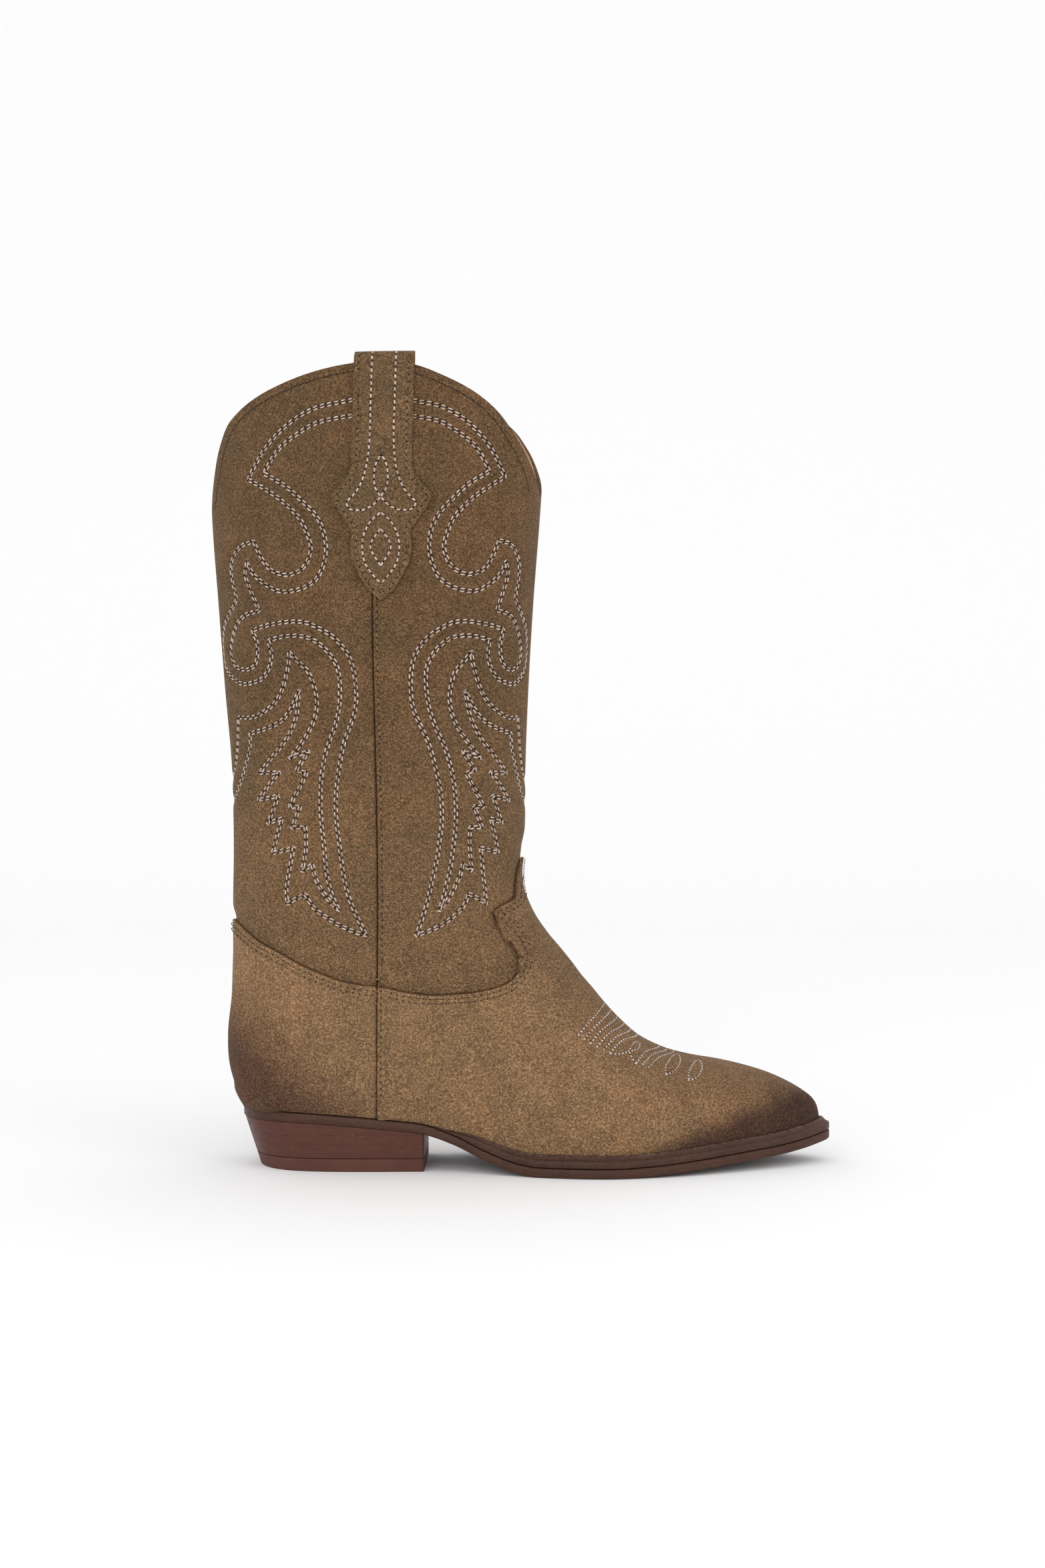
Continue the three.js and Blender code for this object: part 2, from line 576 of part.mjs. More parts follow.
// The soft shaft's turn about its own upright axis, growing with height.
function turned(geometry) {
  const position = geometry.attributes.position;
  for (let i = 0; i < position.count; i++) {
    const z = position.getZ(i);
    const angle = -THREE.MathUtils.degToRad(twistDegrees) * ramp(twistFromZ, twistToZ, z);
    const x = position.getX(i) - twistCentreX;
    const y = position.getY(i);
    position.setX(i, twistCentreX + x * Math.cos(angle) - y * Math.sin(angle));
    position.setY(i, x * Math.sin(angle) + y * Math.cos(angle));
  }
  return geometry;
}

function toGeometry(solid) {
  const mesh = solid.getMesh();
  const geometry = new THREE.BufferGeometry();
  geometry.setAttribute("position", new THREE.BufferAttribute(new Float32Array(mesh.vertProperties), 3));
  geometry.setIndex(new THREE.BufferAttribute(new Uint32Array(mesh.triVerts), 1));
  return geometry;
}

const boot = new THREE.Group();

function add(name, geometry, material) {
  geometry.computeVertexNormals();
  const mesh = new THREE.Mesh(geometry, material);
  mesh.name = name;
  boot.add(mesh);
  return mesh;
}

const addUpper = (name, solid, material) => add(name, turned(toGeometry(solid)), material);
const addSolid = (name, solid, material) => add(name, toGeometry(solid), material);

const panels = shaftPanels();
addUpper("shaft_front_panel", panels.front, suede);
addUpper("shaft_back_panel", panels.back, suede);

const covers = footCovers();
addUpper("vamp", covers.vamp, suede);
addUpper("heel_cover", covers.heelCover, suede);

addUpper("pull_strap_outer", pullStrap(-1), suede);
addUpper("pull_strap_inner", pullStrap(1), suede);

const lined = linings();
addUpper("shaft_front_lining", lined.shaftFront, liningMaterial);
addUpper("shaft_back_lining", lined.shaftBack, liningMaterial);
addUpper("vamp_lining", lined.vamp, liningMaterial);
addUpper("heel_lining", lined.heel, liningMaterial);

const stiff = stiffeners();
addSolid("toe_puff", stiff.toe, boardMaterial);
addSolid("heel_stiffener", stiff.heel, boardMaterial);

addSolid("insole_board", insoleBoard(), boardMaterial);
addSolid("sock_liner", sockLiner(), liningMaterial);
addSolid("shank", shank(), steel);
addSolid("cork_filler", filler(), corkMaterial);
addSolid("welt", welt(), soleMaterial);
addSolid("outsole", outsole(), soleMaterial);

const stacked = heel();
addSolid("heel_block", stacked.block, soleMaterial);
addSolid("heel_top_lift", stacked.topLift, soleMaterial);

nailPlaces.forEach(([x, y], i) => {
  const mesh = add(`heel_nail_${i + 1}`, nail(x), steel);
  mesh.position.set(x, y, 0);
});

// The origin stays under the middle of the boot whatever its sizes are.
const extent = new THREE.Box3().setFromObject(boot, true);
const middle = extent.getCenter(new THREE.Vector3());
boot.position.set(-middle.x, -middle.y, -extent.min.z);

export default boot;
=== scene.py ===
import bpy
import numpy as np
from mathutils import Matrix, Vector


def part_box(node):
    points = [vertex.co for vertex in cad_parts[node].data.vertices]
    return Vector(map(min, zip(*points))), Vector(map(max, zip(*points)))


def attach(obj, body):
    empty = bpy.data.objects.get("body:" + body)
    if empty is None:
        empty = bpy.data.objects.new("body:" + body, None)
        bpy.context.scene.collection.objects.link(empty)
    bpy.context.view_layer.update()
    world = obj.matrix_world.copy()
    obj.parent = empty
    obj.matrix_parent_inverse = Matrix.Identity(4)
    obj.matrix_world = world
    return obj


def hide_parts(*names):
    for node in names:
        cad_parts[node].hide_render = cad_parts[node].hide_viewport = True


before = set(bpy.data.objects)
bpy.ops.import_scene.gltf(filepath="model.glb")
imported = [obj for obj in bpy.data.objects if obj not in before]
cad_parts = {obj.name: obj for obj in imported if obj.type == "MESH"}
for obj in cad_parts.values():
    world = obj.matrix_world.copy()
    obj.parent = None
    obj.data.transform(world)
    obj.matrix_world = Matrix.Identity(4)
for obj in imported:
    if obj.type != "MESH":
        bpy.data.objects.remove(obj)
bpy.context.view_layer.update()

# ---------------------------------------------------------------- shaft panels
# The shaft is two panels of brown suede, a front one and a back one, sewn together down both sides.
# They are cut to a pattern and stretched over the last, whose form is worked out here. Lengths are in
# millimetres in the last's own drawing: x to the toe, z up, with the wearer's outer side at -y.

panel_thickness = 1.5
leather_gap = 0.3
sole_thickness = 4.5
welt_thickness = 3.0

# The last's sections from above the collar to the toe: front line x and z, back line x and z (none where
# the back line runs on under the foot), half width, how far down the section that is, roundness.
under = np.nan
last_sections = np.array([
    [13.9, 390, -150.6, 390, 43.5, 0.5, 2.2],
    [11.2, 345, -148.6, 345, 43.0, 0.5, 2.2],
    [8.5, 305, -147.7, 305, 42.5, 0.5, 2.2],
    [5.3, 265, -144.4, 265, 41.5, 0.5, 2.2],
    [2.9, 225, -141.0, 225, 40.0, 0.5, 2.2],
    [1.5, 190, -137.7, 190, 38.3, 0.5, 2.2],
    [1.3, 165, -136.8, 165, 37.0, 0.5, 2.2],
    [0.6, 148, -136.6, 146, 36.0, 0.5, 2.15],
    [-0.4, 138, -136.9, 124, 35.0, 0.5, 2.1],
    [0.2, 130, -136.5, 102, 34.0, 0.5, 2.1],
    [2.3, 123, -137.4, 81, 33.2, 0.5, 2.15],
    [4.9, 117.4, -139.3, 61, 32.8, 0.5, 2.25],
    [7.7, 112.9, -137.8, 44, 32.8, 0.5, 2.4],
    [11.3, 107.9, -131.0, under, 33.0, 0.5, 2.5],
    [13.0, 105.8, -123.8, under, 33.0, 0.51, 2.3],
    [15.0, 103.5, -112.0, under, 33.2, 0.52, 2.15],
    [16.9, 101.3, -98.0, under, 33.2, 0.53, 2.1],
    [19.5, 98.3, -81.0, under, 33.2, 0.54, 2.05],
    [22.8, 94.6, -64.0, under, 33.4, 0.56, 2.0],
    [27.0, 89.6, -44.0, under, 33.9, 0.58, 2.0],
    [32.6, 83.5, -24.0, under, 35.4, 0.62, 2.0],
    [38.8, 76.0, -5.0, under, 37.6, 0.66, 2.0],
    [46.0, 68.3, 14.0, under, 40.6, 0.7, 2.0],
    [55.1, 60.3, 33.0, under, 43.2, 0.74, 2.0],
    [67.3, 54.0, 53.0, under, 43.4, 0.76, 2.05],
    [79.9, 50.5, 71.0, under, 39.8, 0.77, 2.1],
    [93.0, 48.2, 88.0, under, 33.6, 0.77, 2.15],
    [105.5, 45.3, 103.5, under, 27.0, 0.76, 2.2],
    [117.0, 41.7, 116.5, under, 20.4, 0.74, 2.2],
    [126.6, 37.4, 126.2, under, 15.0, 0.72, 2.2],
    [133.8, 33.1, 132.8, under, 10.4, 0.7, 2.2],
    [138.4, 29.2, 136.8, under, 6.8, 0.65, 2.1],
    [140.6, 24.8, 138.8, under, 3.2, 0.6, 2.0],
    [141.5, 18.6, 140.4, under, 0.3, 0.5, 2.0],
])
foot_section = 13            # the first section whose back line is under the foot
toe_section = len(last_sections) - 1

# The outsole's plan (x, centre line, half width) and the height of its underside.
sole_plan = np.array([
    [-131.8, 0, 0], [-123.3, 0, 20.6], [-111.7, 0, 27.5], [-95, -0.2, 30.2], [-72, -1, 30], [-45, -1.8, 28.8],
    [-25, -2.8, 31.2], [-5, -3.5, 37], [15, -3, 43], [35, -1.5, 47], [52, 0.8, 47.7], [70, 2.3, 44.7],
    [90, 3.8, 38], [110, 5, 29], [126, 5.6, 20.4], [138, 5.9, 12], [146.2, 6, 0],
])
sole_underside = np.array([
    [-134, 23.6], [-105, 22.8], [-80, 21.2], [-60, 19.3], [-45.5, 17.4], [-31, 12.6], [-18, 6.6], [-5, 2],
    [6, 0], [14, 0], [38, 0], [46, 0], [62, 0.9], [80, 2.3], [104, 4.6], [118, 5.8], [132, 7.8], [147, 10.8],
])

# Outlines seen from the side.
collar_line = np.array([
    [-160, 302], [-146.8, 309], [-145.2, 316], [-143.4, 324], [-140.8, 333.4], [-135.4, 344.8],
    [-129.6, 350.5], [-121.5, 355.8], [-110, 361], [-93.6, 366.4], [-76, 370], [-58, 371.4], [-43, 369.4],
    [-31.6, 365.2], [-19.6, 359.4], [-11.3, 353.6], [-5.6, 347.9], [-1.6, 342.2], [2.2, 336], [4.9, 330.3],
    [7, 325], [8.6, 319.5], [9.2, 314], [9.8, 309], [20, 300],
])
tucked_line = np.array([
    [-160, 116], [-136.5, 107], [-120, 96.5], [-100, 87], [-82, 80.5], [-66, 78], [-43, 74], [-22, 75],
    [-7, 78.5], [3, 85], [8, 93], [9, 101], [12, 107], [30, 114],
])
cover_line = np.array([
    [-160, 125], [-136.5, 115], [-123, 106], [-113, 101], [-101.5, 95], [-91.5, 91], [-82.8, 88], [-74, 86.3],
    [-66, 85.6], [-61.8, 85], [-53, 83], [-43, 81.8], [-32.3, 82], [-22.5, 82.7], [-11.7, 84.8], [-4.9, 88],
    [-0.6, 93.9], [0, 99.4], [-2.8, 106.2], [-8.3, 112.4], [-12.8, 117.4], [-13.4, 119.6], [-10.5, 122],
    [-3.4, 125.7], [-2.8, 131.5], [-1.2, 140], [2.6, 149.5], [12, 162],
])
throat_knot = 17             # where that edge turns up into the tongue
side_seam = np.array([
    [0, -66.8], [50, -66.6], [86, -66.4], [208, -65.4], [262, -64.2], [372, -58], [400, -57],
])


def smooth_curve(knots, x):
    """The smooth curve through knots (x, y) at x: a cubic between each two, whose slope at a knot is that of
    the line from the knot before it to the knot after it."""
    kx, ky = np.asarray(knots, float).T
    before = np.maximum(np.arange(len(kx)) - 1, 0)
    after = np.minimum(np.arange(len(kx)) + 1, len(kx) - 1)
    slope = (ky[after] - ky[before]) / (kx[after] - kx[before])
    x = np.clip(x, kx[0], kx[-1])
    i = np.clip(np.searchsorted(kx, x, side="right") - 1, 0, len(kx) - 2)
    span = kx[i + 1] - kx[i]
    u = (x - kx[i]) / span
    rise = u * u * (3 - 2 * u)
    bend = slope[i] * u * (1 - u) ** 2 - slope[i + 1] * u * u * (1 - u)
    return ky[i] * (1 - rise) + ky[i + 1] * rise + span * bend


def ramp(start, end, x):
    """0 up to start, 1 from end on, and a smooth step between them."""
    u = np.clip((x - start) / (end - start), 0, 1)
    return u * u * (3 - 2 * u)


def sole_half(x):
    """The outsole's half width at x. Its square is the smooth curve, so the ends are round."""
    return np.sqrt(np.maximum(smooth_curve(np.c_[sole_plan[:, 0], sole_plan[:, 2] ** 2], x), 0))


def sole_centre(x):
    """The y of the outsole's centre line at x."""
    return smooth_curve(sole_plan[:, :2], x)


def sole_low(x):
    """The height of the outsole's underside at x."""
    return np.maximum(smooth_curve(sole_underside, x), 0)


def feather_reach(x):
    """How far the outsole stands out beyond the upper: little at the heel, more round the forefoot."""
    return 0.8 + 5 * ramp(-62, 12, x)


def welt_share(x):
    """How much of its full thickness the welt has, as it grows out of the waist."""
    return ramp(-40, -18, x)


def feather_height(x):
    """The height of the edge where the upper meets the sole or the welt."""
    return sole_low(x) + sole_thickness + leather_gap + welt_share(x) * (welt_thickness + leather_gap)


def drawn_in_half(x):
    """The half width of the outsole's plan drawn in all round by the feather's reach: the least, over the
    disc of that radius, of the plan's edge less the disc's own height."""
    reach = feather_reach(x)
    steps = np.linspace(-1, 1, 13)
    edges = [sole_half(x + reach * k) - reach * np.sqrt(1 - k * k) for k in steps]
    return np.maximum(np.min(edges, axis=0), 0)


plan_x = np.linspace(sole_plan[0, 0], sole_plan[-1, 0], 1200)
plan_feather_half = drawn_in_half(plan_x)
section_numbers = np.arange(len(last_sections))
on_foot = section_numbers >= foot_section
last_sections[on_foot, 3] = feather_height(last_sections[on_foot, 2])


def last_point(t, turn):
    """The last's surface. t counts sections and turn is the angle round one: 0 on the front line, pi on the
    back line, negative on the outer side. The chord's share is (1 - cos turn) / 2, and the half width over it
    is two quarters of a superellipse that meet at the widest share."""
    t, turn = np.broadcast_arrays(np.clip(t, 0, toe_section), turn)
    column = [smooth_curve(np.c_[section_numbers, last_sections[:, k]], t) for k in range(7)]
    front_x, front_z, back_x, back_z, half, widest, power = column
    foot = t >= foot_section
    back_z = np.where(foot, feather_height(back_x), back_z)
    sole = np.where(foot, np.maximum(np.interp(back_x, plan_x, plan_feather_half), 1), 1)
    centre = np.where(foot, sole_centre(back_x), 0)
    half = np.maximum(half, sole + 0.2)
    share = (1 - np.cos(turn)) / 2
    high = np.clip(1 - share / widest, 0, 1)
    low = np.clip((share - widest) / (1 - widest), 0, 1)
    across_high = half * (1 - high ** power) ** (1 / power)
    across_low = sole + (half - sole) * (1 - low ** power) ** (1 / power)
    across = np.where(share < widest, across_high, across_low) * np.where(np.sin(turn) < 0, -1, 1)
    across = np.where(np.abs(turn) < 1e-9, 0, across)
    x = front_x + (back_x - front_x) * share
    z = front_z + (back_z - front_z) * share
    return np.stack([x, centre + across, z], -1)


def last_outward(t, turn):
    """The unit normal of the last's surface: the cross product of its slopes over small steps of t and turn,
    turned to point away from the middle of the section."""
    t, turn = np.broadcast_arrays(np.asarray(t, float), turn)
    furthest = np.where(t >= foot_section, np.pi, 4.0)
    ahead = np.clip(turn + 0.012, -furthest, furthest)
    behind = np.clip(turn - 0.012, -furthest, furthest)
    down = last_point(t + 0.2, turn) - last_point(t - 0.2, turn)
    around = last_point(t, ahead) - last_point(t, behind)
    normal = np.cross(down, around)
    middle = (last_point(t, 0 * turn) + last_point(t, 0 * turn + np.pi - 1e-6)) / 2
    middle[..., 1] = np.where(t >= foot_section, sole_centre(middle[..., 0]), 0)
    side = np.sum(normal * (last_point(t, turn) - middle), -1, keepdims=True)
    normal = normal * np.where(side < 0, -1, 1)
    return normal / np.linalg.norm(normal, axis=-1, keepdims=True)


def under_face(t, turn, depth):
    """The point that lies depth under the upper's outer face."""
    return last_point(t, turn) - np.asarray(depth)[..., None] * last_outward(t, turn)


# The part's own place: the first heel nail stands at (-114, 0) in the drawing.
nail_low, nail_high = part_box("heel_nail_1")
part_shift = np.array([
    (nail_low.x + nail_high.x) * 500 + 114.0,
    (nail_low.y + nail_high.y) * 500,
    0.0,
])
lean_degrees = 7.5           # the soft shaft stands turned a little on the foot
lean_from, lean_to, lean_centre = 120, 345, -68


def placed(points):
    """Drawing to frame, in metres: each level above the ankle is turned about the shaft's upright axis, by an
    angle that grows smoothly with its height, and then everything is shifted."""
    angle = -np.radians(lean_degrees) * ramp(lean_from, lean_to, points[..., 2])
    x, y = points[..., 0] - lean_centre, points[..., 1]
    turned_x = lean_centre + x * np.cos(angle) - y * np.sin(angle)
    turned_y = x * np.sin(angle) + y * np.cos(angle)
    return (np.stack([turned_x, turned_y, points[..., 2]], -1) + part_shift) * 0.001


seam_t = np.linspace(0, toe_section, 2000)
seam_share = np.full_like(seam_t, 0.5)
for _ in range(6):
    low_half = last_point(seam_t, np.arccos(1 - 2 * seam_share))
    front, back = last_point(seam_t, 0.0 * seam_t), last_point(seam_t, 0.0 * seam_t + np.pi)
    seam_x = smooth_curve(side_seam, low_half[:, 2])
    seam_share = np.clip((front[:, 0] - seam_x) / (front[:, 0] - back[:, 0]), 0, 1)
seam_share[np.argmax(seam_share >= 1):] = 1


def seam_turn(t):
    """The angle round the section at which the side seam lies."""
    return np.interp(t, seam_t, np.arccos(1 - 2 * seam_share))


def even_rows(t, points, rows):
    """t at rows places spread evenly by length along the line through points, one for each t."""
    length = np.r_[0, np.cumsum(np.linalg.norm(np.diff(points, axis=0), axis=1))]
    return np.interp(np.linspace(0, length[-1], rows), length, t)


def panel_grid(end_turn, columns, rows, high_line, low_line):
    """Half of a panel, as t and turn on a grid. Columns go from the side seam to the centre line, as shares
    of the angle between them. Rows run down each column from the high line to the low one, evenly by
    length."""
    t = np.linspace(0, 16, 900)
    share = np.linspace(0, 1, columns)
    grid_t = []
    for w in share:
        column = last_point(t, seam_turn(t) + (end_turn - seam_turn(t)) * w)
        under_high = column[:, 2] < smooth_curve(high_line, column[:, 0])
        over_low = column[:, 2] > np.interp(column[:, 0], *np.asarray(low_line, float).T)
        first = np.argmax(under_high)
        final = len(t) - np.argmax(over_low[::-1])
        above = column[first - 1: first + 1]
        gap_high = above[:, 2] - smooth_curve(high_line, above[:, 0])
        start = t[first - 1] + (t[1] - t[0]) * gap_high[0] / (gap_high[0] - gap_high[1])
        kept = slice(first, final)
        line_t = np.r_[start, t[kept]]
        start_turn = seam_turn(start) + (end_turn - seam_turn(start)) * w
        line = np.r_[last_point(start, start_turn)[None], column[kept]]
        grid_t.append(even_rows(line_t, line, rows))
    grid_t = np.array(grid_t).T
    return grid_t, seam_turn(grid_t) + (end_turn - seam_turn(grid_t)) * share


def both_sides(outer, inner, shared_centre):
    """A whole sheet from its halves: the outer side, and then the inner side back to its seam."""
    return np.concatenate([outer, inner[:, ::-1][:, 1 if shared_centre else 0:]], 1)


def mesh_from(name, points, faces, values=None):
    """A mesh object from points (n, 3), faces (m, corners) and named values at the points."""
    mesh = bpy.data.meshes.new(name)
    mesh.vertices.add(len(points))
    mesh.vertices.foreach_set("co", np.ascontiguousarray(points, np.float32).ravel())
    corners = faces.shape[1]
    mesh.loops.add(faces.size)
    mesh.loops.foreach_set("vertex_index", faces.astype(np.int32).ravel())
    mesh.polygons.add(len(faces))
    mesh.polygons.foreach_set("loop_start", np.arange(0, faces.size, corners, dtype=np.int32))
    mesh.polygons.foreach_set("loop_total", np.full(len(faces), corners, np.int32))
    mesh.polygons.foreach_set("use_smooth", np.ones(len(faces), bool))
    for key, value in (values or {}).items():
        mesh.attributes.new(key, "FLOAT", "POINT").data.foreach_set("value", value.astype(np.float32).ravel())
    mesh.update(calc_edges=True)
    mesh.validate()
    piece = bpy.data.objects.new(name, mesh)
    bpy.context.scene.collection.objects.link(piece)
    return piece


def sheet_faces(rows, columns, closed=False):
    """The quads of a grid of rows by columns, joined round from the last column to the first if closed."""
    ids = np.arange(rows * columns).reshape(rows, columns)
    if closed:
        ids = np.concatenate([ids, ids[:, :1]], 1)
    return np.stack([ids[:-1, :-1], ids[1:, :-1], ids[1:, 1:], ids[:-1, 1:]], -1).reshape(-1, 4)


def facing_out(points, faces, probe):
    """The faces of a sheet, turned so that the one at probe looks away from the boot's middle plane."""
    a, b, c = points[faces[probe, :3]]
    outward = np.cross(b - a, c - a)
    return faces[:, ::-1] if outward[1] * a[1] < 0 else faces


def walled(piece, thickness):
    """A sheet given a wall of the leather's thickness, inwards from its face."""
    wall = piece.modifiers.new("thickness", "SOLIDIFY")
    wall.thickness = thickness * 0.001
    wall.offset = -1
    return piece


def leather_sheet(name, grid, depth, shared_centre, thickness, values=None, widest_gap=4.0):
    """A leather piece from half its sheet, as t, turn and the depth under the upper's face: both sides
    joined at the centre line, quads that would bridge a gap left out, faces turned outwards, and a wall of
    the leather's thickness inwards."""
    t, turn = grid
    points = both_sides(under_face(t, -turn, depth), under_face(t, turn, depth), shared_centre)
    faces = sheet_faces(*points.shape[:2])
    flat = points.reshape(-1, 3)
    across = np.linalg.norm(flat[faces[:, 0]] - flat[faces[:, 3]], axis=1)
    faces = faces[across < widest_gap]
    faces = facing_out(flat, faces, len(faces) // 5)
    full = {key: both_sides(value, value, shared_centre) for key, value in (values or {}).items()}
    return walled(mesh_from(name, placed(flat), faces, full), thickness)


# Two chains of fancy stitching run over each quarter of the shaft, drawn as the angle in degrees round from
# the front line and the height. Each chain is a run of smooth strokes that meet in points.
outer_chain = [
    [(78, 354.5), (71, 353), (63, 351), (56, 347), (49, 341), (42, 333), (37, 325), (34, 320)],
    [(34, 320), (42, 315), (49, 309.5), (56, 301), (59, 293), (60, 287), (58, 280), (54, 276), (49, 275),
     (43, 277.5), (39, 283), (35.5, 291)],
    [(35.5, 291), (28, 289), (22, 282), (21.5, 273), (23, 265), (18, 259), (11, 252), (7.5, 243.5),
     (8.5, 235), (15, 229), (22, 225.5), (29, 226), (34.5, 228), (38.5, 233), (40, 239), (39, 245)],
    [(39, 245), (45, 246.5), (51, 247), (56.5, 246), (61, 243), (64.5, 238.5), (67, 233), (67.7, 227),
     (67.5, 220), (66.5, 212.5), (64.5, 205), (61.7, 198), (59.4, 190.5), (57.7, 182), (57, 174), (56.8, 166),
     (57.2, 158), (58, 149.5), (58.7, 141), (60, 133.5), (61.8, 127), (64, 121)],
    [(64, 121), (60.5, 125), (56.5, 131.5), (54, 137), (53, 142)],
    [(53, 142), (48.5, 139)],
    [(48.5, 139), (50, 148), (50.3, 154), (50, 159)],
    [(50, 159), (44, 159)],
    [(44, 159), (46, 164), (48, 168.5)],
    [(48, 168.5), (43, 168.5)],
    [(43, 168.5), (46, 174), (49, 179), (51.5, 184)],
    [(51.5, 184), (47, 185.5)],
    [(47, 185.5), (50, 189.5), (53, 194)],
    [(53, 194), (44.3, 191)],
    [(44.3, 191), (48, 195), (51.5, 199.5), (55, 205), (57.5, 211.5), (58.3, 218), (57.6, 224), (55.6, 230.5),
     (52, 235), (48.3, 239.5)],
    [(48.3, 239.5), (47.6, 234), (45.7, 227.5), (43, 221), (39, 216), (33.5, 212.5), (27, 210), (17, 210)],
    [(17, 210), (15.5, 203), (13, 194), (8.5, 186), (0, 180)],
]
inner_chain = [
    [(78, 347), (71, 346), (63, 344), (56, 339.5), (49, 333.5), (44, 326), (42, 322)],
    [(42, 322), (50.7, 316), (57, 309), (62.5, 301.5), (65, 294), (65.6, 286.5), (64, 278), (60.3, 271.5),
     (53.7, 268), (46.5, 267.5), (39.7, 271), (34, 276), (31, 281.5)],
    [(31, 281.5), (29.5, 276), (31.6, 269), (35.5, 259)],
    [(35.5, 259), (27, 257), (21.5, 252.5), (17.8, 246), (16, 240), (19, 234), (25, 232), (30, 233.5),
     (32.6, 238.5), (32.8, 244.5), (31, 250)],
    [(31, 250), (37, 251.7), (45, 253), (51, 253.5), (56.4, 252.8), (61.5, 250), (66, 246.5), (69.6, 241.7),
     (72, 236.5), (73.2, 230), (73.6, 223.5), (73.4, 216.7), (72.2, 210.5), (69.8, 204), (67.4, 197),
     (65.7, 189.5), (64.3, 182), (63.3, 174.7), (63, 168), (63.2, 160), (64, 152.5), (64.8, 145), (66, 137),
     (68, 127.5), (70.7, 119), (74.2, 109.5)],
    [(74.2, 109.5), (70, 111), (65, 113.5), (58.7, 117.7), (53.5, 122.3), (50, 128.3)],
    [(50, 128.3), (45.5, 126), (41.4, 123.6)],
    [(41.4, 123.6), (41.3, 132), (42.6, 140.5), (44.5, 149.5)],
    [(44.5, 149.5), (33.5, 147)],
    [(33.5, 147), (36.3, 155.5), (39, 163)],
    [(39, 163), (31.3, 161)],
    [(31.3, 161), (34.6, 167.3), (37.5, 173.5)],
    [(37.5, 173.5), (26, 171.5)],
    [(26, 171.5), (32, 178), (38.6, 184.3)],
    [(38.6, 184.3), (27.7, 184.2)],
    [(27.7, 184.2), (33.4, 189.6), (38.5, 194.3), (43, 199), (46.5, 204.3), (49.2, 210.5), (50.5, 216.8),
     (51.2, 221.6)],
    [(51.2, 221.6), (46.4, 212.7), (41.7, 208), (35, 205), (24, 202.4)],
    [(24, 202.4), (23, 196), (20, 189.5), (15.5, 181.5), (9.5, 174.5), (0, 170)],
]


def drawn_line(points, step=0.6):
    """A line drawn smoothly through points, one every step: each coordinate is a smooth curve of the length
    along the points."""
    points = np.asarray(points, float)
    length = np.r_[0, np.cumsum(np.linalg.norm(np.diff(points, axis=0), axis=1))]
    at = np.linspace(0, length[-1], max(int(length[-1] / step), 3))
    return np.stack([smooth_curve(np.c_[length, points[:, k]], at) for k in range(points.shape[1])], 1)


def drawn_chain(strokes):
    """The strokes of a chain as one line."""
    lines = [drawn_line(stroke) for stroke in strokes]
    return np.concatenate([lines[0]] + [line[1:] for line in lines[1:]])


def section_at(turn, height):
    """t of the section that has that height at that angle, from a table of heights."""
    t = np.linspace(0, 14, 1500)
    share = ((1 - np.cos(turn)) / 2)[:, None]
    front = last_point(t, 0 * t)[:, 2]
    back = last_point(t, 0 * t + np.pi)[:, 2]
    heights = front + (back - front) * share
    i = np.argmax(heights < height[:, None], axis=1)
    above = heights[np.arange(len(i)), i - 1]
    below = heights[np.arange(len(i)), i]
    return t[i - 1] + (t[1] - t[0]) * (above - height) / (above - below)


def back_angle(angle):
    """Where the front panel's pattern falls on the back panel: mirrored in a line just ahead of the seam, and
    opened out to reach the back line."""
    return 167.5 - angle + 12.5 * np.clip(1 - angle / 35, 0, 1) ** 2


def pattern_rows(on_back):
    """The two chains on one panel as (t, turn) of points 0.6 mm apart."""
    rows = []
    for chain in (outer_chain, inner_chain):
        angle, height = drawn_chain(chain).T
        turn = np.radians(back_angle(angle) if on_back else angle)
        rows.append((section_at(turn, height), turn))
    return rows


def row_distance(points, rows):
    """The distance from each point to the nearest row, and the same distance with a sign that tells the row's
    two sides apart."""
    line = np.concatenate([last_point(t, turn) for t, turn in rows]).astype(np.float32)
    ahead = np.concatenate([np.gradient(last_point(t, turn), axis=0) for t, turn in rows])
    up = np.concatenate([last_outward(t, turn) for t, turn in rows])
    sideways = np.cross(ahead, up)
    nearest = np.empty(len(points), np.int64)
    for start in range(0, len(points), 2048):
        block = points[start:start + 2048].astype(np.float32)
        square = (block ** 2).sum(1)[:, None] - 2 * block @ line.T + (line ** 2).sum(1)
        nearest[start:start + 2048] = square.argmin(1)
    offset = points - line[nearest]
    distance = np.linalg.norm(offset, axis=1)
    return distance, distance * np.where(np.sum(offset * sideways[nearest], 1) < 0, -1, 1)


valley_depth = 0.85          # how far a double row of stitching pulls the leather in
valley_width = 2.1
cover_press = 0.8            # how far it is pressed in where the foot's pieces lap over it
centre_press = 0.6           # and how much further at the front and back lines
seam_rise = 0.8              # how far the front panel's edge rides up over the back panel's
seam_dip = 0.7               # how far the back panel's edge dips under it
chart_far = 6                # distances are kept up to here in a piece's attributes


def distance_to_line(line, x, z):
    """How far points seen from the side lie from a line: the least distance to its straight pieces."""
    least = np.full(np.shape(x), np.inf)
    for (ax, az), (bx, bz) in zip(line[:-1], line[1:]):
        u = np.clip(((x - ax) * (bx - ax) + (z - az) * (bz - az)) / ((bx - ax) ** 2 + (bz - az) ** 2), 0, 1)
        least = np.minimum(least, np.hypot(x - ax - u * (bx - ax), z - az - u * (bz - az)))
    return least


def under_cover(points):
    """Whether points seen from the side lie below the covers' upper edge: under its run to the throat, or
    ahead of its run up the tongue."""
    x, z = points[..., 0], points[..., 2]
    below = z < np.interp(x, *cover_line[:throat_knot + 1].T)
    ahead = x > np.interp(z, cover_line[throat_knot:, 1], cover_line[throat_knot:, 0])
    return below | (ahead & (z > cover_line[throat_knot, 1]))


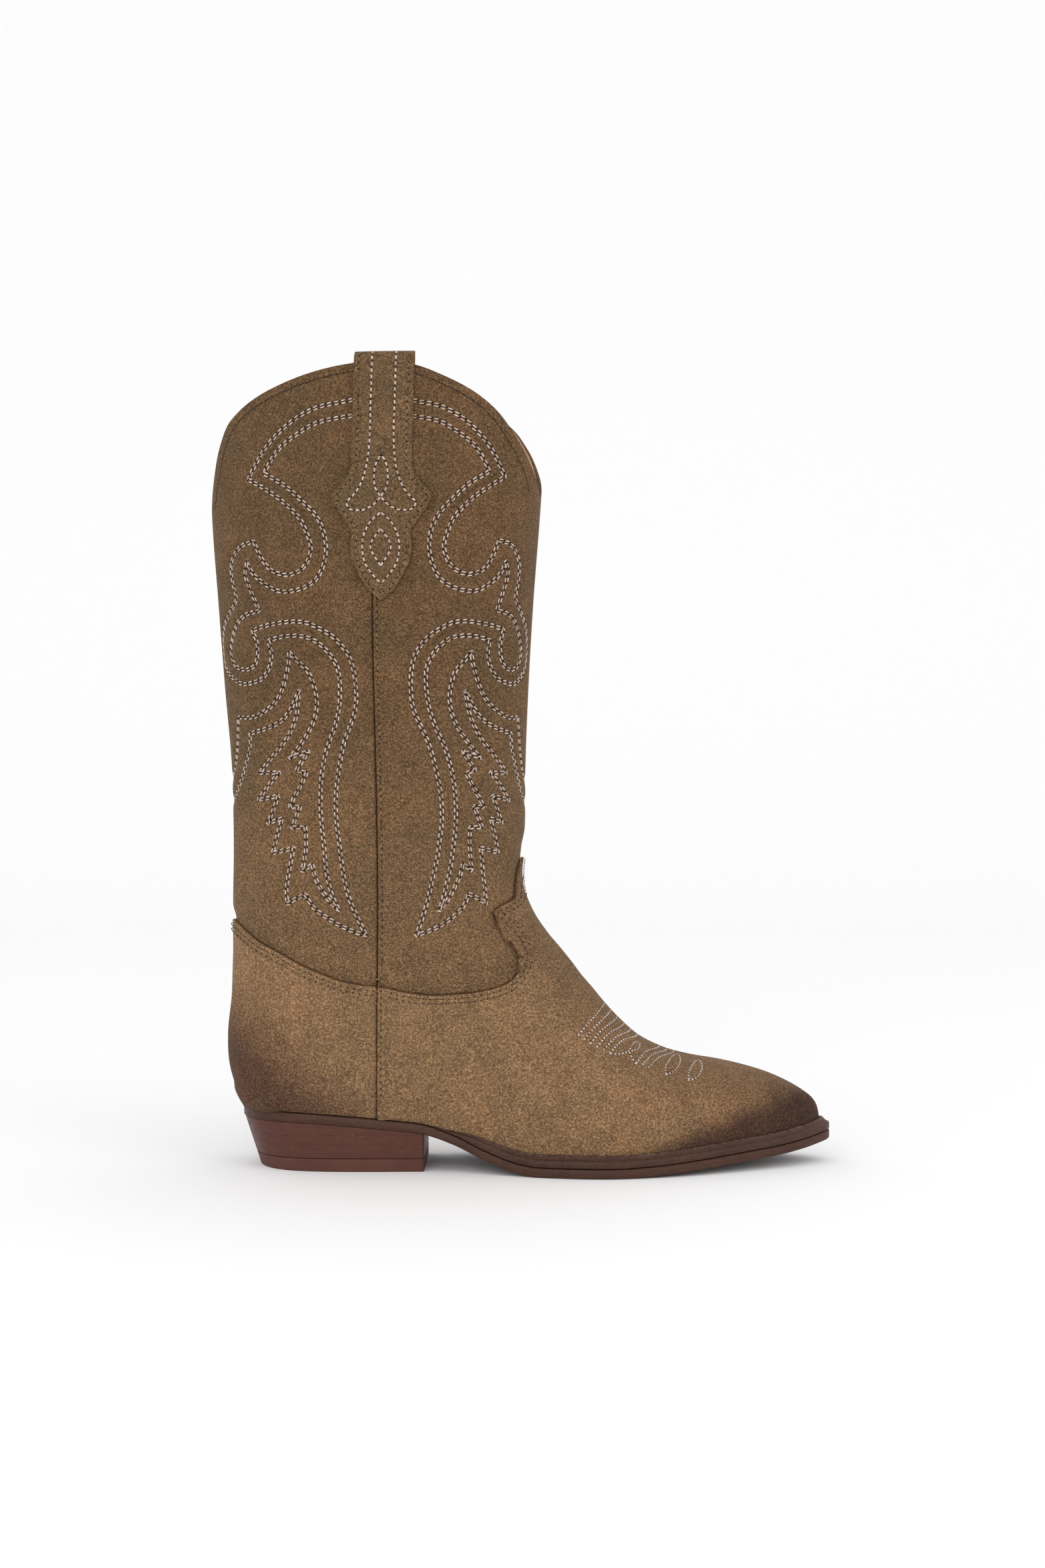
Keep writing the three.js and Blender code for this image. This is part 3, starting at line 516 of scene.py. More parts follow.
def at_centre(points):
    """1 at the back line and at the front line above the throat, and 0 round the sides."""
    x, z = points[..., 0], points[..., 2]
    return np.maximum(ramp(-122, -136, x), ramp(-9, 0, x) * ramp(118, 138, z))


def off_seam(points):
    """How far points seen from the side lie from the side seam."""
    return np.abs(points[..., 0] - smooth_curve(side_seam, points[..., 2]))


def quilted_panel(name, end_turn, columns, rows, on_back):
    """A shaft panel with the valleys that its double rows of stitching pull into it: the depth falls off with
    the distance from the row's middle as a bell curve. At the side seam the front panel's edge rides up over
    the back one's, which dips under it."""
    t, turn = panel_grid(end_turn, columns, rows, collar_line, tucked_line)
    flat = last_point(t, turn).reshape(-1, 3)
    distance, side = row_distance(flat, pattern_rows(on_back))
    distance = distance.reshape(t.shape)
    depth = valley_depth * np.exp(-(distance / valley_width) ** 2)
    flat = flat.reshape(*t.shape, 3)
    lap = off_seam(flat)
    depth += seam_dip * (1 - ramp(0.1, 1.3, lap)) if on_back else -seam_rise * (1 - ramp(1.2, 4.5, lap))
    cover_edge = distance_to_line(cover_line, flat[..., 0], flat[..., 2])
    press = cover_press + centre_press * at_centre(flat)
    depth += press * (1 - ramp(0.5, 7, np.where(under_cover(flat), 0, cover_edge)))
    # row_distance and row_side let the material paint shade into the stitch grooves; lap_distance lets it
    # paint a shadow line along lapped edges and the side seam.
    under = np.minimum(lap + (0 if on_back else 2), cover_edge)
    values = {"row_distance": np.minimum(distance, chart_far),
              "row_side": np.clip(side.reshape(t.shape), -chart_far, chart_far),
              "lap_distance": np.minimum(under, chart_far)}
    return leather_sheet(name, (t, turn), depth, not on_back, panel_thickness, values)


front_panel = quilted_panel("shaft_front", 0.0, 84, 258, False)
back_panel = quilted_panel("shaft_back", np.pi - 1e-6, 84, 258, True)


def add_node(tree, kind, inputs=None, **settings):
    """A shader node with its settings, and its inputs given as values or as the sockets that feed them."""
    node = tree.nodes.new(kind)
    for key, value in settings.items():
        setattr(node, key, value)
    for socket, value in (inputs or {}).items():
        if isinstance(value, bpy.types.NodeSocket):
            tree.links.new(value, node.inputs[socket])
        else:
            node.inputs[socket].default_value = value
    return node


def maths(tree, operation, *inputs):
    """The result of a Math node."""
    return add_node(tree, "ShaderNodeMath", dict(enumerate(inputs)), operation=operation).outputs[0]


def between(tree, value, low, high, to_low=0.0, to_high=1.0):
    """value from low to high, mapped smoothly onto to_low to to_high."""
    inputs = {"Value": value, "From Min": low, "From Max": high, "To Min": to_low, "To Max": to_high}
    return add_node(tree, "ShaderNodeMapRange", inputs, interpolation_type="SMOOTHSTEP").outputs["Result"]


def blended(tree, share, first, second, blend_type="MIX"):
    """Two colours mixed by share."""
    inputs = {0: share, 6: first, 7: second}
    return add_node(tree, "ShaderNodeMix", inputs, data_type="RGBA", blend_type=blend_type).outputs[2]


def noise(tree, place, scale, detail=2.0, roughness=0.5, distortion=0.0):
    """A noise value from 0 to 1, with features 1 / scale metres across."""
    inputs = {"Vector": place, "Scale": scale, "Detail": detail, "Roughness": roughness,
              "Distortion": distortion}
    return add_node(tree, "ShaderNodeTexNoise", inputs).outputs["Fac"]


def new_group(name, inputs, outputs):
    """An empty shader node group with those sockets, and its input and output nodes."""
    group = bpy.data.node_groups.new(name, "ShaderNodeTree")
    for socket, kind, value in inputs:
        item = group.interface.new_socket(socket, in_out="INPUT", socket_type=kind)
        if value is not None:
            item.default_value = value
    for socket, kind in outputs:
        group.interface.new_socket(socket, in_out="OUTPUT", socket_type=kind)
    return group, group.nodes.new("NodeGroupInput"), group.nodes.new("NodeGroupOutput")


def make_nap_group():
    """Suede's nap: short fibres as fine light and dark grain, brushed patches some millimetres across, and a
    slow drift between a greener and a redder brown. Gives the colour, the roughness and the nap's height."""
    group, given, result = new_group(
        "suede_nap",
        [("Place", "NodeSocketVector", None), ("Base", "NodeSocketColor", (0.2, 0.12, 0.06, 1)),
         ("Contrast", "NodeSocketFloat", 1.0)],
        [("Colour", "NodeSocketColor"), ("Roughness", "NodeSocketFloat"), ("Height", "NodeSocketFloat")],
    )
    place = given.outputs["Place"]
    grain = noise(group, place, 1150, 3.0, 0.75)
    fibre = noise(group, place, 2600, 2.0, 0.6, 0.6)
    brushed = noise(group, place, 85, 4.0, 0.62, 0.8)
    drift = noise(group, place, 17, 3.0, 0.5, 1.2)
    grain_tone = between(group, grain, 0.3, 0.7, -0.8, 0.8)
    fibre_tone = between(group, fibre, 0.32, 0.68, -0.36, 0.36)
    brushed_tone = between(group, brushed, 0.3, 0.7, -0.11, 0.11)
    drift_tone = between(group, drift, 0.3, 0.7, -0.1, 0.1)
    fine = maths(group, "MULTIPLY", maths(group, "ADD", grain_tone, fibre_tone), given.outputs["Contrast"])
    tone = maths(group, "ADD", maths(group, "ADD", fine, brushed_tone), drift_tone)
    lift = maths(group, "POWER", 2.0, maths(group, "MULTIPLY", tone, 1.25))
    scaled = add_node(group, "ShaderNodeVectorMath", {0: given.outputs["Base"]}, operation="SCALE")
    group.links.new(lift, scaled.inputs["Scale"])
    warmer = blended(group, between(group, drift, 0.42, 0.66, 0.0, 0.3), scaled.outputs[0],
                     (1.1, 0.93, 0.86, 1), "MULTIPLY")
    group.links.new(warmer, result.inputs["Colour"])
    group.links.new(between(group, grain, 0.3, 0.7, 0.98, 0.82), result.inputs["Roughness"])
    height = maths(group, "ADD", grain, maths(group, "MULTIPLY", fibre, 0.5))
    group.links.new(height, result.inputs["Height"])
    return group


nap_group = make_nap_group()


def make_row_group():
    """The grooves that a double row of thread presses into leather: two lines 0.6 mm to either side of the
    row's middle, with a soft ridge between them. Gives a mask for the painted shade in the grooves, and a
    height."""
    group, given, result = new_group(
        "stitch_grooves",
        [("Distance", "NodeSocketFloat", 6.0), ("Side", "NodeSocketFloat", 6.0)],
        [("Mask", "NodeSocketFloat"), ("Height", "NodeSocketFloat")],
    )
    near = between(group, given.outputs["Distance"], 2.2, 3.2, 1.0, 0.0)
    reach = maths(group, "ABSOLUTE", given.outputs["Side"])
    off_thread = maths(group, "ABSOLUTE", maths(group, "SUBTRACT", reach, 0.6))
    groove = maths(group, "MULTIPLY", between(group, off_thread, 0.15, 0.6, 1.0, 0.0), near)
    group.links.new(groove, result.inputs["Mask"])
    group.links.new(maths(group, "MULTIPLY", groove, -1.0), result.inputs["Height"])
    return group


row_group = make_row_group()

suede_brown = (0.142, 0.085, 0.0425, 1)


def set_shader(tree, inputs, height, strength, distance):
    """The material's Principled shader with these inputs, and the height standing up from it as bump."""
    relief = add_node(tree, "ShaderNodeBump", {"Strength": strength, "Distance": distance, "Height": height})
    shader = add_node(tree, "ShaderNodeBsdfPrincipled", {**inputs, "Normal": relief.outputs["Normal"]})
    output = add_node(tree, "ShaderNodeOutputMaterial")
    tree.links.new(shader.outputs["BSDF"], output.inputs["Surface"])


def set_suede_shader(tree, colour, height, roughness):
    """The shader of a suede, with its nap standing up and a soft bloom of sheen."""
    inputs = {"Base Color": colour, "Roughness": roughness, "Specular IOR Level": 0.1, "Sheen Weight": 0.1,
              "Sheen Roughness": 0.55, "Sheen Tint": (0.8, 0.66, 0.5, 1)}
    set_shader(tree, inputs, height, 0.75, 0.00042)


def new_material(name):
    """A material with an empty node tree, and the Object coordinates that its pattern follows."""
    material = bpy.data.materials.new(name)
    material.use_nodes = True
    material.node_tree.nodes.clear()
    place = add_node(material.node_tree, "ShaderNodeTexCoord").outputs["Object"]
    return material, material.node_tree, place


def panel_suede():
    """Suede of the shaft: the nap, lighter near the foot, pressed in along the fancy stitching with painted
    shade in its grooves, and a painted shadow line, with some soiling, where it meets a lapped edge."""
    material, tree, place = new_material("shaft_suede")
    nap = add_node(tree, "ShaderNodeGroup", node_tree=nap_group)
    tree.links.new(place, nap.inputs["Place"])
    nap.inputs["Base"].default_value = suede_brown
    rows = add_node(tree, "ShaderNodeGroup", node_tree=row_group)
    distance = add_node(tree, "ShaderNodeAttribute", attribute_name="row_distance").outputs["Fac"]
    side = add_node(tree, "ShaderNodeAttribute", attribute_name="row_side").outputs["Fac"]
    tree.links.new(distance, rows.inputs["Distance"])
    tree.links.new(side, rows.inputs["Side"])
    lap = add_node(tree, "ShaderNodeAttribute", attribute_name="lap_distance").outputs["Fac"]
    above_ankle = between(tree, add_node(tree, "ShaderNodeSeparateXYZ", {0: place}).outputs["Z"], 0.12, 0.24)
    colour = blended(tree, above_ankle, nap.outputs["Colour"], (0.74, 0.72, 0.7, 1), "MULTIPLY")
    # Painted shade in the stitch grooves, and a painted shadow line with some soiling along lapped edges.
    shade = maths(tree, "MAXIMUM", maths(tree, "MULTIPLY", rows.outputs["Mask"], 0.5),
                  between(tree, lap, 0.3, 1.2, 0.7, 0.0))
    colour = blended(tree, shade, colour, (0.3, 0.22, 0.18, 1), "MULTIPLY")
    height = maths(tree, "ADD", nap.outputs["Height"], rows.outputs["Height"])
    set_suede_shader(tree, colour, height, nap.outputs["Roughness"])
    return material


shaft_suede = panel_suede()
for piece, node in ((front_panel, "shaft_front_panel"), (back_panel, "shaft_back_panel")):
    piece.data.materials.append(shaft_suede)
    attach(piece, "root")
    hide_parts(node)

# ---------------------------------------------------------------- vamp and heel cover
# The vamp wraps the foot from the toe to the side seams and sends a tongue up the front of the shaft. The
# heel cover closes the back. Both are suede, lapped over the shaft's lower edge and sewn down with two
# rows.

cover_lift = 1.0             # how far a cover stands out where it rides over the shaft
cover_settles = 16, 34       # over these distances from its edge it comes back down on the lining
seam_knot = 8                # where that edge crosses the side seam
heel_corner_swell = 1.1      # how far the heel's lower corners stand out over the lining
toe_valley_depth = 0.35      # how far a single row over the toe pulls the leather in
toe_valley_width = 0.9


def cover_depth(points):
    """A cover's depth: proud of the shaft near its edge, down on the lining further in."""
    away = distance_to_line(cover_line, points[..., 0], points[..., 2])
    return -(cover_lift - centre_press * at_centre(points)) * (1 - ramp(*cover_settles, away))


chart_t = np.linspace(0, toe_section, 1400)
chart_front = last_point(chart_t, 0 * chart_t)[:, ::2]
chart_back = last_point(chart_t, 0 * chart_t + np.pi)[:, ::2]
front_edge = chart_front[::-1]
back_edge = chart_back[chart_t < foot_section][::-1]


def chart_of(x, z):
    """(t, turn) of points seen from the side: t of the chord that passes through each, and the turn from its
    share along that chord."""
    x, z = np.atleast_1d(x), np.atleast_1d(z)
    chord = chart_back - chart_front
    area = chord[:, 0] * (z[:, None] - chart_front[:, 1]) - chord[:, 1] * (x[:, None] - chart_front[:, 0])
    i = np.argmax(np.sign(area) != np.sign(area[:, :1]), axis=1)
    here, before = area[np.arange(len(i)), i], area[np.arange(len(i)), i - 1]
    part = before / (before - here)
    t = chart_t[i - 1] + (chart_t[1] - chart_t[0]) * part
    front = chart_front[i - 1] + (chart_front[i] - chart_front[i - 1]) * part[:, None]
    back = chart_back[i - 1] + (chart_back[i] - chart_back[i - 1]) * part[:, None]
    along = back - front
    share = ((x - front[:, 0]) * along[:, 0] + (z - front[:, 1]) * along[:, 1]) / (along ** 2).sum(1)
    return t, np.arccos(1 - 2 * np.clip(share, 0, 1))


def cover_grid(edge_t, edge_turn, end_turn, join_t, end_t, rows_high, rows_low):
    """Half of a cover as t and turn on a grid. Columns go from the side seam to the centre line. Rows go from
    the upper edge straight to the section join_t, and from there section by section to end_t."""
    share = np.linspace(0, 1, len(edge_t))
    join_turn = seam_turn(join_t) + (end_turn - seam_turn(join_t)) * share
    v = np.linspace(0, 1, rows_high)[:, None]
    high_t = edge_t + (join_t - edge_t) * v
    high_turn = edge_turn + (join_turn - edge_turn) * v
    off_seam = seam_turn(high_t[:, :1]) - high_turn[:, :1]
    high_turn = high_turn + off_seam * np.clip(1 - share / 0.3, 0, 1)
    t = np.linspace(join_t, end_t, 3000)
    seam_edge = last_point(t, np.minimum(seam_turn(t), np.pi - 1e-6))
    centre_edge = last_point(t, 0 * t + end_turn)
    low_t = even_rows(t, np.concatenate([seam_edge, centre_edge], 1), rows_low + 1)[1:, None]
    low_turn = seam_turn(low_t) + (end_turn - seam_turn(low_t)) * share
    low_turn = np.minimum(low_turn, np.pi - 1e-6)
    low_t = np.broadcast_to(low_t, low_turn.shape)
    return np.concatenate([high_t, low_t]), np.concatenate([high_turn, low_turn])


vamp_edge = np.r_[[[-66.2, 85.6]], cover_line[seam_knot + 1:]]


def line_to_centre(knots, edge, ahead):
    """The part of a line, given from the seam on, that lies on the last: up to where it passes the last's
    front edge (ahead is 1) or back edge (ahead is -1), seen from the side."""
    line = drawn_line(knots, 0.05)
    past = (line[:, 0] - np.interp(line[:, 1], edge[:, 1], edge[:, 0])) * ahead >= 0
    stop = np.argmax(past) if past.any() else len(line)
    return line[:stop]


def edge_columns(line, shares, columns, end_turn):
    """(t, turn) at columns places along a line, spread so that given shares of the columns fall at given
    shares of its length on the last. The last place lies on the centre line, at end_turn."""
    t, turn = chart_of(*line[::4].T)
    turn[-1] = end_turn
    points = last_point(t, turn)
    length = np.r_[0, np.cumsum(np.linalg.norm(np.diff(points, axis=0), axis=1))]
    at = np.interp(np.linspace(0, 1, columns), *np.asarray(shares, float).T) * length[-1]
    return np.interp(at, length, t), np.interp(at, length, turn)


vamp_line = line_to_centre(vamp_edge, front_edge, 1)
vamp_t, vamp_turn = edge_columns(vamp_line, [(0, 0), (0.5, 0.44), (0.72, 0.64), (1, 1)], 120, 0.0)
vamp_grid = cover_grid(vamp_t, vamp_turn, 0.0, 17.0, toe_section, 44, 140)

heel_line = line_to_centre(cover_line[seam_knot::-1], back_edge, -1)
heel_line[0, 0] = -66.6
heel_t, heel_turn = edge_columns(heel_line, [(0, 0), (1, 1)], 96, np.pi - 1e-6)
heel_grid = cover_grid(heel_t, heel_turn, np.pi - 1e-6, 12.2, seam_t[np.argmax(seam_share >= 1)], 62, 60)

# The rows of decorative stitching over the toe, seen from the side: slanted bars, a link with a small loop,
# and two ovals. The bars of both sides meet on the ridge.
toe_bars = [
    [(25.4, 63.2), (30.5, 68.5), (38.8, 76.0)], [(28.1, 61.2), (34, 67.2), (41.8, 72.8)],
    [(30.9, 59.4), (37, 65.5), (44.9, 69.5)], [(33.9, 57.9), (40.2, 63.6), (48.2, 66.4)],
    [(37.0, 56.6), (43.4, 61.8), (51.4, 63.5)], [(39.9, 55.2), (46.5, 60.2), (54.6, 60.8)],
    [(39.9, 55.2), (44.5, 54.8), (48.8, 55.5), (52, 58.6), (54.8, 58.3), (54, 56.2), (49.4, 55.6)],
    [(49.4, 55.6), (50.6, 52.6), (52.3, 50.4)],
    [(52.3, 50.4), (57.5, 54.6), (65.0, 55.1)], [(55.2, 49.5), (60.5, 53.2), (68.5, 53.6)],
    [(58.1, 48.3), (63.6, 51.8), (72.0, 52.5)],
    [(66.3, 44.9), (66.6, 48.3), (70.2, 51.4), (73.5, 51.6), (74.0, 49.8), (70.6, 46.3), (66.3, 44.9)],
    [(77.0, 42.2), (77.3, 45.2), (80.6, 48.6), (83.6, 48.9), (84.0, 46.6), (81.2, 43.3), (77.0, 42.2)],
]


def side_rows(lines):
    """Rows drawn from the side as (t, turn)."""
    return [chart_of(*drawn_line(line, 0.5).T) for line in lines]


toe_rows = side_rows(toe_bars)


def cover_piece(name, grid, shared_centre, rows=None):
    """A cover from its grid, with a shallow valley along each row of stitching. The vamp's edge rides up
    over the heel cover's at the side seam."""
    t, turn = grid
    flat = last_point(t, turn)
    lap = off_seam(flat)
    depth = cover_depth(flat)
    depth += -seam_rise * (1 - ramp(1.2, 4.5, lap)) if rows else seam_dip * (1 - ramp(0.1, 1.3, lap))
    depth -= heel_corner_swell * ramp(-110, -119, flat[..., 0]) * ramp(40, 35, flat[..., 2])
    lap = np.where(flat[..., 2] < 86, lap + (2 if rows else 0), chart_far)
    if rows:
        distance, _ = row_distance(flat.reshape(-1, 3), rows)
        depth += toe_valley_depth * np.exp(-(distance.reshape(t.shape) / toe_valley_width) ** 2)
    # lap_distance lets the material paint a shadow line on the heel cover beside the vamp's lapped edge at
    # the side seam.
    values = {"lap_distance": np.minimum(lap, chart_far)}
    return leather_sheet(name, grid, depth, shared_centre, panel_thickness, values, widest_gap=9)


vamp = cover_piece("vamp_leather", vamp_grid, True, toe_rows)
heel_cover = cover_piece("heel_leather", heel_grid, False)


def foot_suede():
    """Suede of the foot: lighter and brushed, painted shade along the instep's ridge, burnished round the toe
    and low on the heel, and a painted shadow line with some soiling where the heel cover meets the vamp's
    edge."""
    material, tree, place = new_material("foot_suede")
    nap = add_node(tree, "ShaderNodeGroup", node_tree=nap_group)
    tree.links.new(place, nap.inputs["Place"])
    nap.inputs["Base"].default_value = (0.2, 0.118, 0.06, 1)
    x, _, z = add_node(tree, "ShaderNodeSeparateXYZ", {0: place}).outputs
    patch = noise(tree, place, 26, 3.0, 0.55, 0.8)
    wander = maths(tree, "MULTIPLY", maths(tree, "SUBTRACT", patch, 0.5), 0.018)
    toe_low = maths(tree, "ADD", maths(tree, "SUBTRACT", z, maths(tree, "MULTIPLY", x, 0.34)), wander)
    toe_mask = maths(tree, "MULTIPLY", between(tree, toe_low, -0.014, 0.0, 1.0, 0.0),
                     between(tree, x, 0.03, 0.085))
    heel_low = maths(tree, "ADD", maths(tree, "ADD", z, maths(tree, "MULTIPLY", x, 0.9)), wander)
    heel_mask = between(tree, heel_low, -0.07, -0.022, 0.9, 0.0)
    lap = add_node(tree, "ShaderNodeAttribute", attribute_name="lap_distance").outputs["Fac"]
    burnish = maths(tree, "MAXIMUM", toe_mask, heel_mask)
    # Painted shade: the top ridge of the instep and toe is darkened.
    instep = maths(tree, "ADD", z, maths(tree, "MULTIPLY", x, 0.9))
    toe_top = maths(tree, "ADD", maths(tree, "ADD", z, 0.04), maths(tree, "MULTIPLY", x, 0.3))
    ridge = between(tree, maths(tree, "MINIMUM", instep, toe_top), 0.08, 0.112)
    colour = blended(tree, ridge, nap.outputs["Colour"], (0.72, 0.72, 0.73, 1), "MULTIPLY")
    colour = blended(tree, burnish, colour, (0.3, 0.26, 0.34, 1), "MULTIPLY")
    # A painted shadow line, with some soiling, on the heel cover beside the vamp's lapped edge.
    colour = blended(tree, between(tree, lap, 0.3, 1.2, 0.65, 0.0), colour, (0.3, 0.22, 0.18, 1), "MULTIPLY")
    set_suede_shader(tree, colour, nap.outputs["Height"], nap.outputs["Roughness"])
    return material


foot_material = foot_suede()
for piece, node in ((vamp, "vamp"), (heel_cover, "heel_cover")):
    piece.data.materials.append(foot_material)
    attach(piece, "root")
    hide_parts(node)

# ---------------------------------------------------------------- linings
# Smooth tan leather lines the shaft and the foot. It is sewn to the suede along the collar, where its edge
# shows, and stands a little further in where a stiffener lies behind it.

lining_thickness = 1.2
stiffener_space = 1.5        # a stiffener and the air round it
lining_seam = np.array([[-160, 104], [-100, 97], [-66, 94], [-20, 99], [10, 112], [40, 130]])


def lining_depth(points):
    """A lining's depth under the outer face: the suede, and a stiffener at the toe and the heel."""
    x, z = points[..., 0], points[..., 2]
    toe = ramp(61, 81, x)
    heel = ramp(-37, -57, x) * ramp(114, 96, z)
    return panel_thickness + leather_gap + stiffener_space * np.maximum(toe, heel)


def lining_piece(name, grid, shared_centre):
    """A lining from its grid."""
    depth = lining_depth(last_point(*grid))
    return leather_sheet(name, grid, depth, shared_centre, lining_thickness, widest_gap=9)


shaft_lining_edge = lining_seam + [0, 0.15]
front_lining = lining_piece("shaft_front_lining_leather",
                            panel_grid(0.0, 84, 120, collar_line, shaft_lining_edge), True)
back_lining = lining_piece("shaft_back_lining_leather",
                           panel_grid(np.pi - 1e-6, 84, 120, collar_line, shaft_lining_edge), False)
foot_edge = line_to_centre(np.array([[-66, 93.8], [-20, 98.8], [10, 111.8], [40, 129.8]]), front_edge, 1)
foot_t, foot_turn = edge_columns(foot_edge, [(0, 0), (1, 1)], 48, 0.0)
vamp_lining = lining_piece("vamp_lining_leather",
                           cover_grid(foot_t, foot_turn, 0.0, 14.0, 31.2, 20, 60), True)
back_lining_edge = line_to_centre(np.array([[-66.8, 93.8], [-100, 96.8], [-160, 103.8]]), back_edge, -1)
back_t, back_turn = edge_columns(back_lining_edge, [(0, 0), (1, 1)], 44, np.pi - 1e-6)
heel_lining = lining_piece("heel_lining_leather",
                           cover_grid(back_t, back_turn, np.pi - 1e-6, 12.0, 17.85, 30, 34), False)


def smooth_tan():
    """Smooth tan lining leather: fine pores, faint streaks, and darker where the foot has rubbed it."""
    material, tree, place = new_material("lining_leather")
    pores = add_node(tree, "ShaderNodeTexVoronoi", {"Vector": place, "Scale": 1500.0}).outputs["Distance"]
    streak = noise(tree, place, 45, 4.0, 0.6, 0.7)
    colour = blended(tree, between(tree, streak, 0.3, 0.7), (0.36, 0.2, 0.105, 1), (0.47, 0.285, 0.165, 1))
    speck = between(tree, pores, 0.1, 0.5, 0.25, 0.0)
    colour = blended(tree, speck, colour, (0.2, 0.1, 0.05, 1))
    rough = between(tree, streak, 0.3, 0.7, 0.62, 0.48)
    inputs = {"Base Color": colour, "Roughness": rough, "Specular IOR Level": 0.35}
    set_shader(tree, inputs, pores, 0.3, 0.00015)
    return material


lining_leather = smooth_tan()
for piece, node in ((front_lining, "shaft_front_lining"), (back_lining, "shaft_back_lining"),
                    (vamp_lining, "vamp_lining"), (heel_lining, "heel_lining")):
    piece.data.materials.append(lining_leather)
    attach(piece, "root")
    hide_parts(node)

# ---------------------------------------------------------------- pull straps
# A suede strap is folded over the collar at each side: a shaped end outside, a loop that stands over the
# edge, and a plain end inside. It is sewn down round its edge.

strap_thickness = 1.8
strap_centre_x, strap_lean, collar_top = -57, 0.032, 371.4
strap_loop_top = 375.9
strap_inside_end = 309.4
strap_bend = 371.3           # where it starts to bend over the collar
strap_outer = -(strap_thickness + leather_gap)
strap_inner = panel_thickness + lining_thickness + 2 * leather_gap + strap_thickness
strap_middle, strap_radius = (strap_outer + strap_inner) / 2, (strap_inner - strap_outer) / 2
strap_end = np.array([
    [-10, 13.7], [47.9, 13.7], [52.4, 15.2], [56.4, 18.6], [59.6, 22], [61.9, 22.7], [65.4, 21.2], [71.8, 17],
    [76.4, 13.6], [78.9, 13.2], [84.4, 13.9], [90.4, 13.2], [97.4, 10], [103.4, 6.2], [108.9, 0.4],
])


def strap_surface(across, height, depth):
    """A point of the strap: across from its centre line, at a height on the last, so far under its face."""
    x = strap_centre_x + across + (height - collar_top) * strap_lean
    t, turn = chart_of(x.ravel(), height.ravel())
    return under_face(t, turn, depth.ravel()).reshape(*x.shape, 3)


def strap_sheet():
    """The strap's outward face: up the inside, round over the collar as half an ellipse, and down the
    outside to its point, as wide at each place as its outline."""
    inside = np.linspace(strap_inside_end, strap_bend, 40)[:-1]
    turn = np.linspace(np.pi, 0, 16)
    down = np.linspace(0, 1, 112)[1:] * (strap_end[-1, 0] + strap_bend - collar_top)
    over = strap_bend + (strap_loop_top - strap_bend) * np.sin(turn)
    height = np.r_[inside, over, strap_bend - down]
    bend_depth = strap_middle - strap_radius * np.cos(turn)
    depth = np.r_[0 * inside + strap_inner, bend_depth, 0 * down + strap_outer]
    drop = np.r_[0 * inside, 0 * turn, collar_top - strap_bend + down]
    half = np.interp(drop, *strap_end.T)
    share = np.linspace(-1, 1, 41)
    across = half[:, None] * share
    return strap_surface(across, height[:, None] + 0 * across, depth[:, None] + 0 * across)


def single_sheet(name, points, thickness):
    """A leather piece from one sheet of points in the drawing, its face outwards and its wall inwards."""
    faces = sheet_faces(*points.shape[:2])
    flat = points.reshape(-1, 3)
    faces = facing_out(flat, faces, -len(faces) // 4)
    return walled(mesh_from(name, placed(flat), faces), thickness)


strap_points = strap_sheet()


def plain_suede(name, base, contrast=1.0):
    """Suede with nothing on it but its nap."""
    material, tree, place = new_material(name)
    nap = add_node(tree, "ShaderNodeGroup", node_tree=nap_group)
    tree.links.new(place, nap.inputs["Place"])
    nap.inputs["Base"].default_value = base
    nap.inputs["Contrast"].default_value = contrast
    set_suede_shader(tree, nap.outputs["Colour"], nap.outputs["Height"], nap.outputs["Roughness"])
    return material


strap_suede = plain_suede("strap_suede", (0.115, 0.07, 0.036, 1))
for side, flip in (("outer", (1, -1, 1)), ("inner", (1, 1, 1))):
    piece = single_sheet(f"pull_strap_{side}_leather", strap_points * flip, strap_thickness)
    piece.data.materials.append(strap_suede)
    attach(piece, "root")
    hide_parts(f"pull_strap_{side}")

# ---------------------------------------------------------------- stitching
# Waxed thread in lock stitch. Each stitch shows as a short raised bead between two needle holes, and each
# hole is a small, nearly black bead of painted shade. The fancy rows, the straps and the toe are sewn in
# off-white, and the edges and seams in dark brown.

stitch_pitch = 3.4
edge_pitch = 3.0
thread_across, thread_up = 0.34, 0.32


def bead_template(length, across, up, sides=6, rings=3):
    """A bead along x: rings of an ellipse whose size follows a half circle from tip to tip, closed by a
    point at each end."""
    along = np.linspace(-1, 1, rings + 2)[1:-1]
    size = (1 - np.abs(along) ** 2.6) ** 0.5
    turn = np.arange(sides) * 2 * np.pi / sides
    ring_x = np.repeat(along * length / 2, sides)
    ring_y = (size[:, None] * across * np.cos(turn)).ravel()
    ring_z = (size[:, None] * up * np.sin(turn)).ravel()
    points = np.r_[np.c_[ring_x, ring_y, ring_z], [[-length / 2, 0, 0], [length / 2, 0, 0]]]
    ids = np.arange(rings * sides).reshape(rings, sides)
    here, after = ids, np.roll(ids, -1, axis=1)
    walls = np.stack([here[:-1], after[:-1], after[1:], here[1:]], -1).reshape(-1, 4)
    walls = np.r_[walls[:, [0, 1, 2]], walls[:, [0, 2, 3]]]
    first = np.stack([after[0], here[0], np.full(sides, rings * sides)], -1)
    last = np.stack([here[-1], after[-1], np.full(sides, rings * sides + 1)], -1)
    return points, np.r_[walls, first, last]


def row_frames(points, up, aside, pitch, start):
    """Places, directions and normals at every pitch along a row that runs aside from a line of points."""
    ahead = np.gradient(points, axis=0)
    ahead /= np.linalg.norm(ahead, axis=1, keepdims=True) + 1e-9
    sideways = np.cross(up, ahead)
    line = points + sideways * aside
    length = np.r_[0, np.cumsum(np.linalg.norm(np.diff(line, axis=0), axis=1))]
    at = np.arange(start, length[-1], pitch)
    place = np.stack([np.interp(at, length, line[:, k]) for k in range(3)], 1)
    direction = np.stack([np.interp(at, length, ahead[:, k]) for k in range(3)], 1)
    normal = np.stack([np.interp(at, length, up[:, k]) for k in range(3)], 1)
    return place, direction, normal


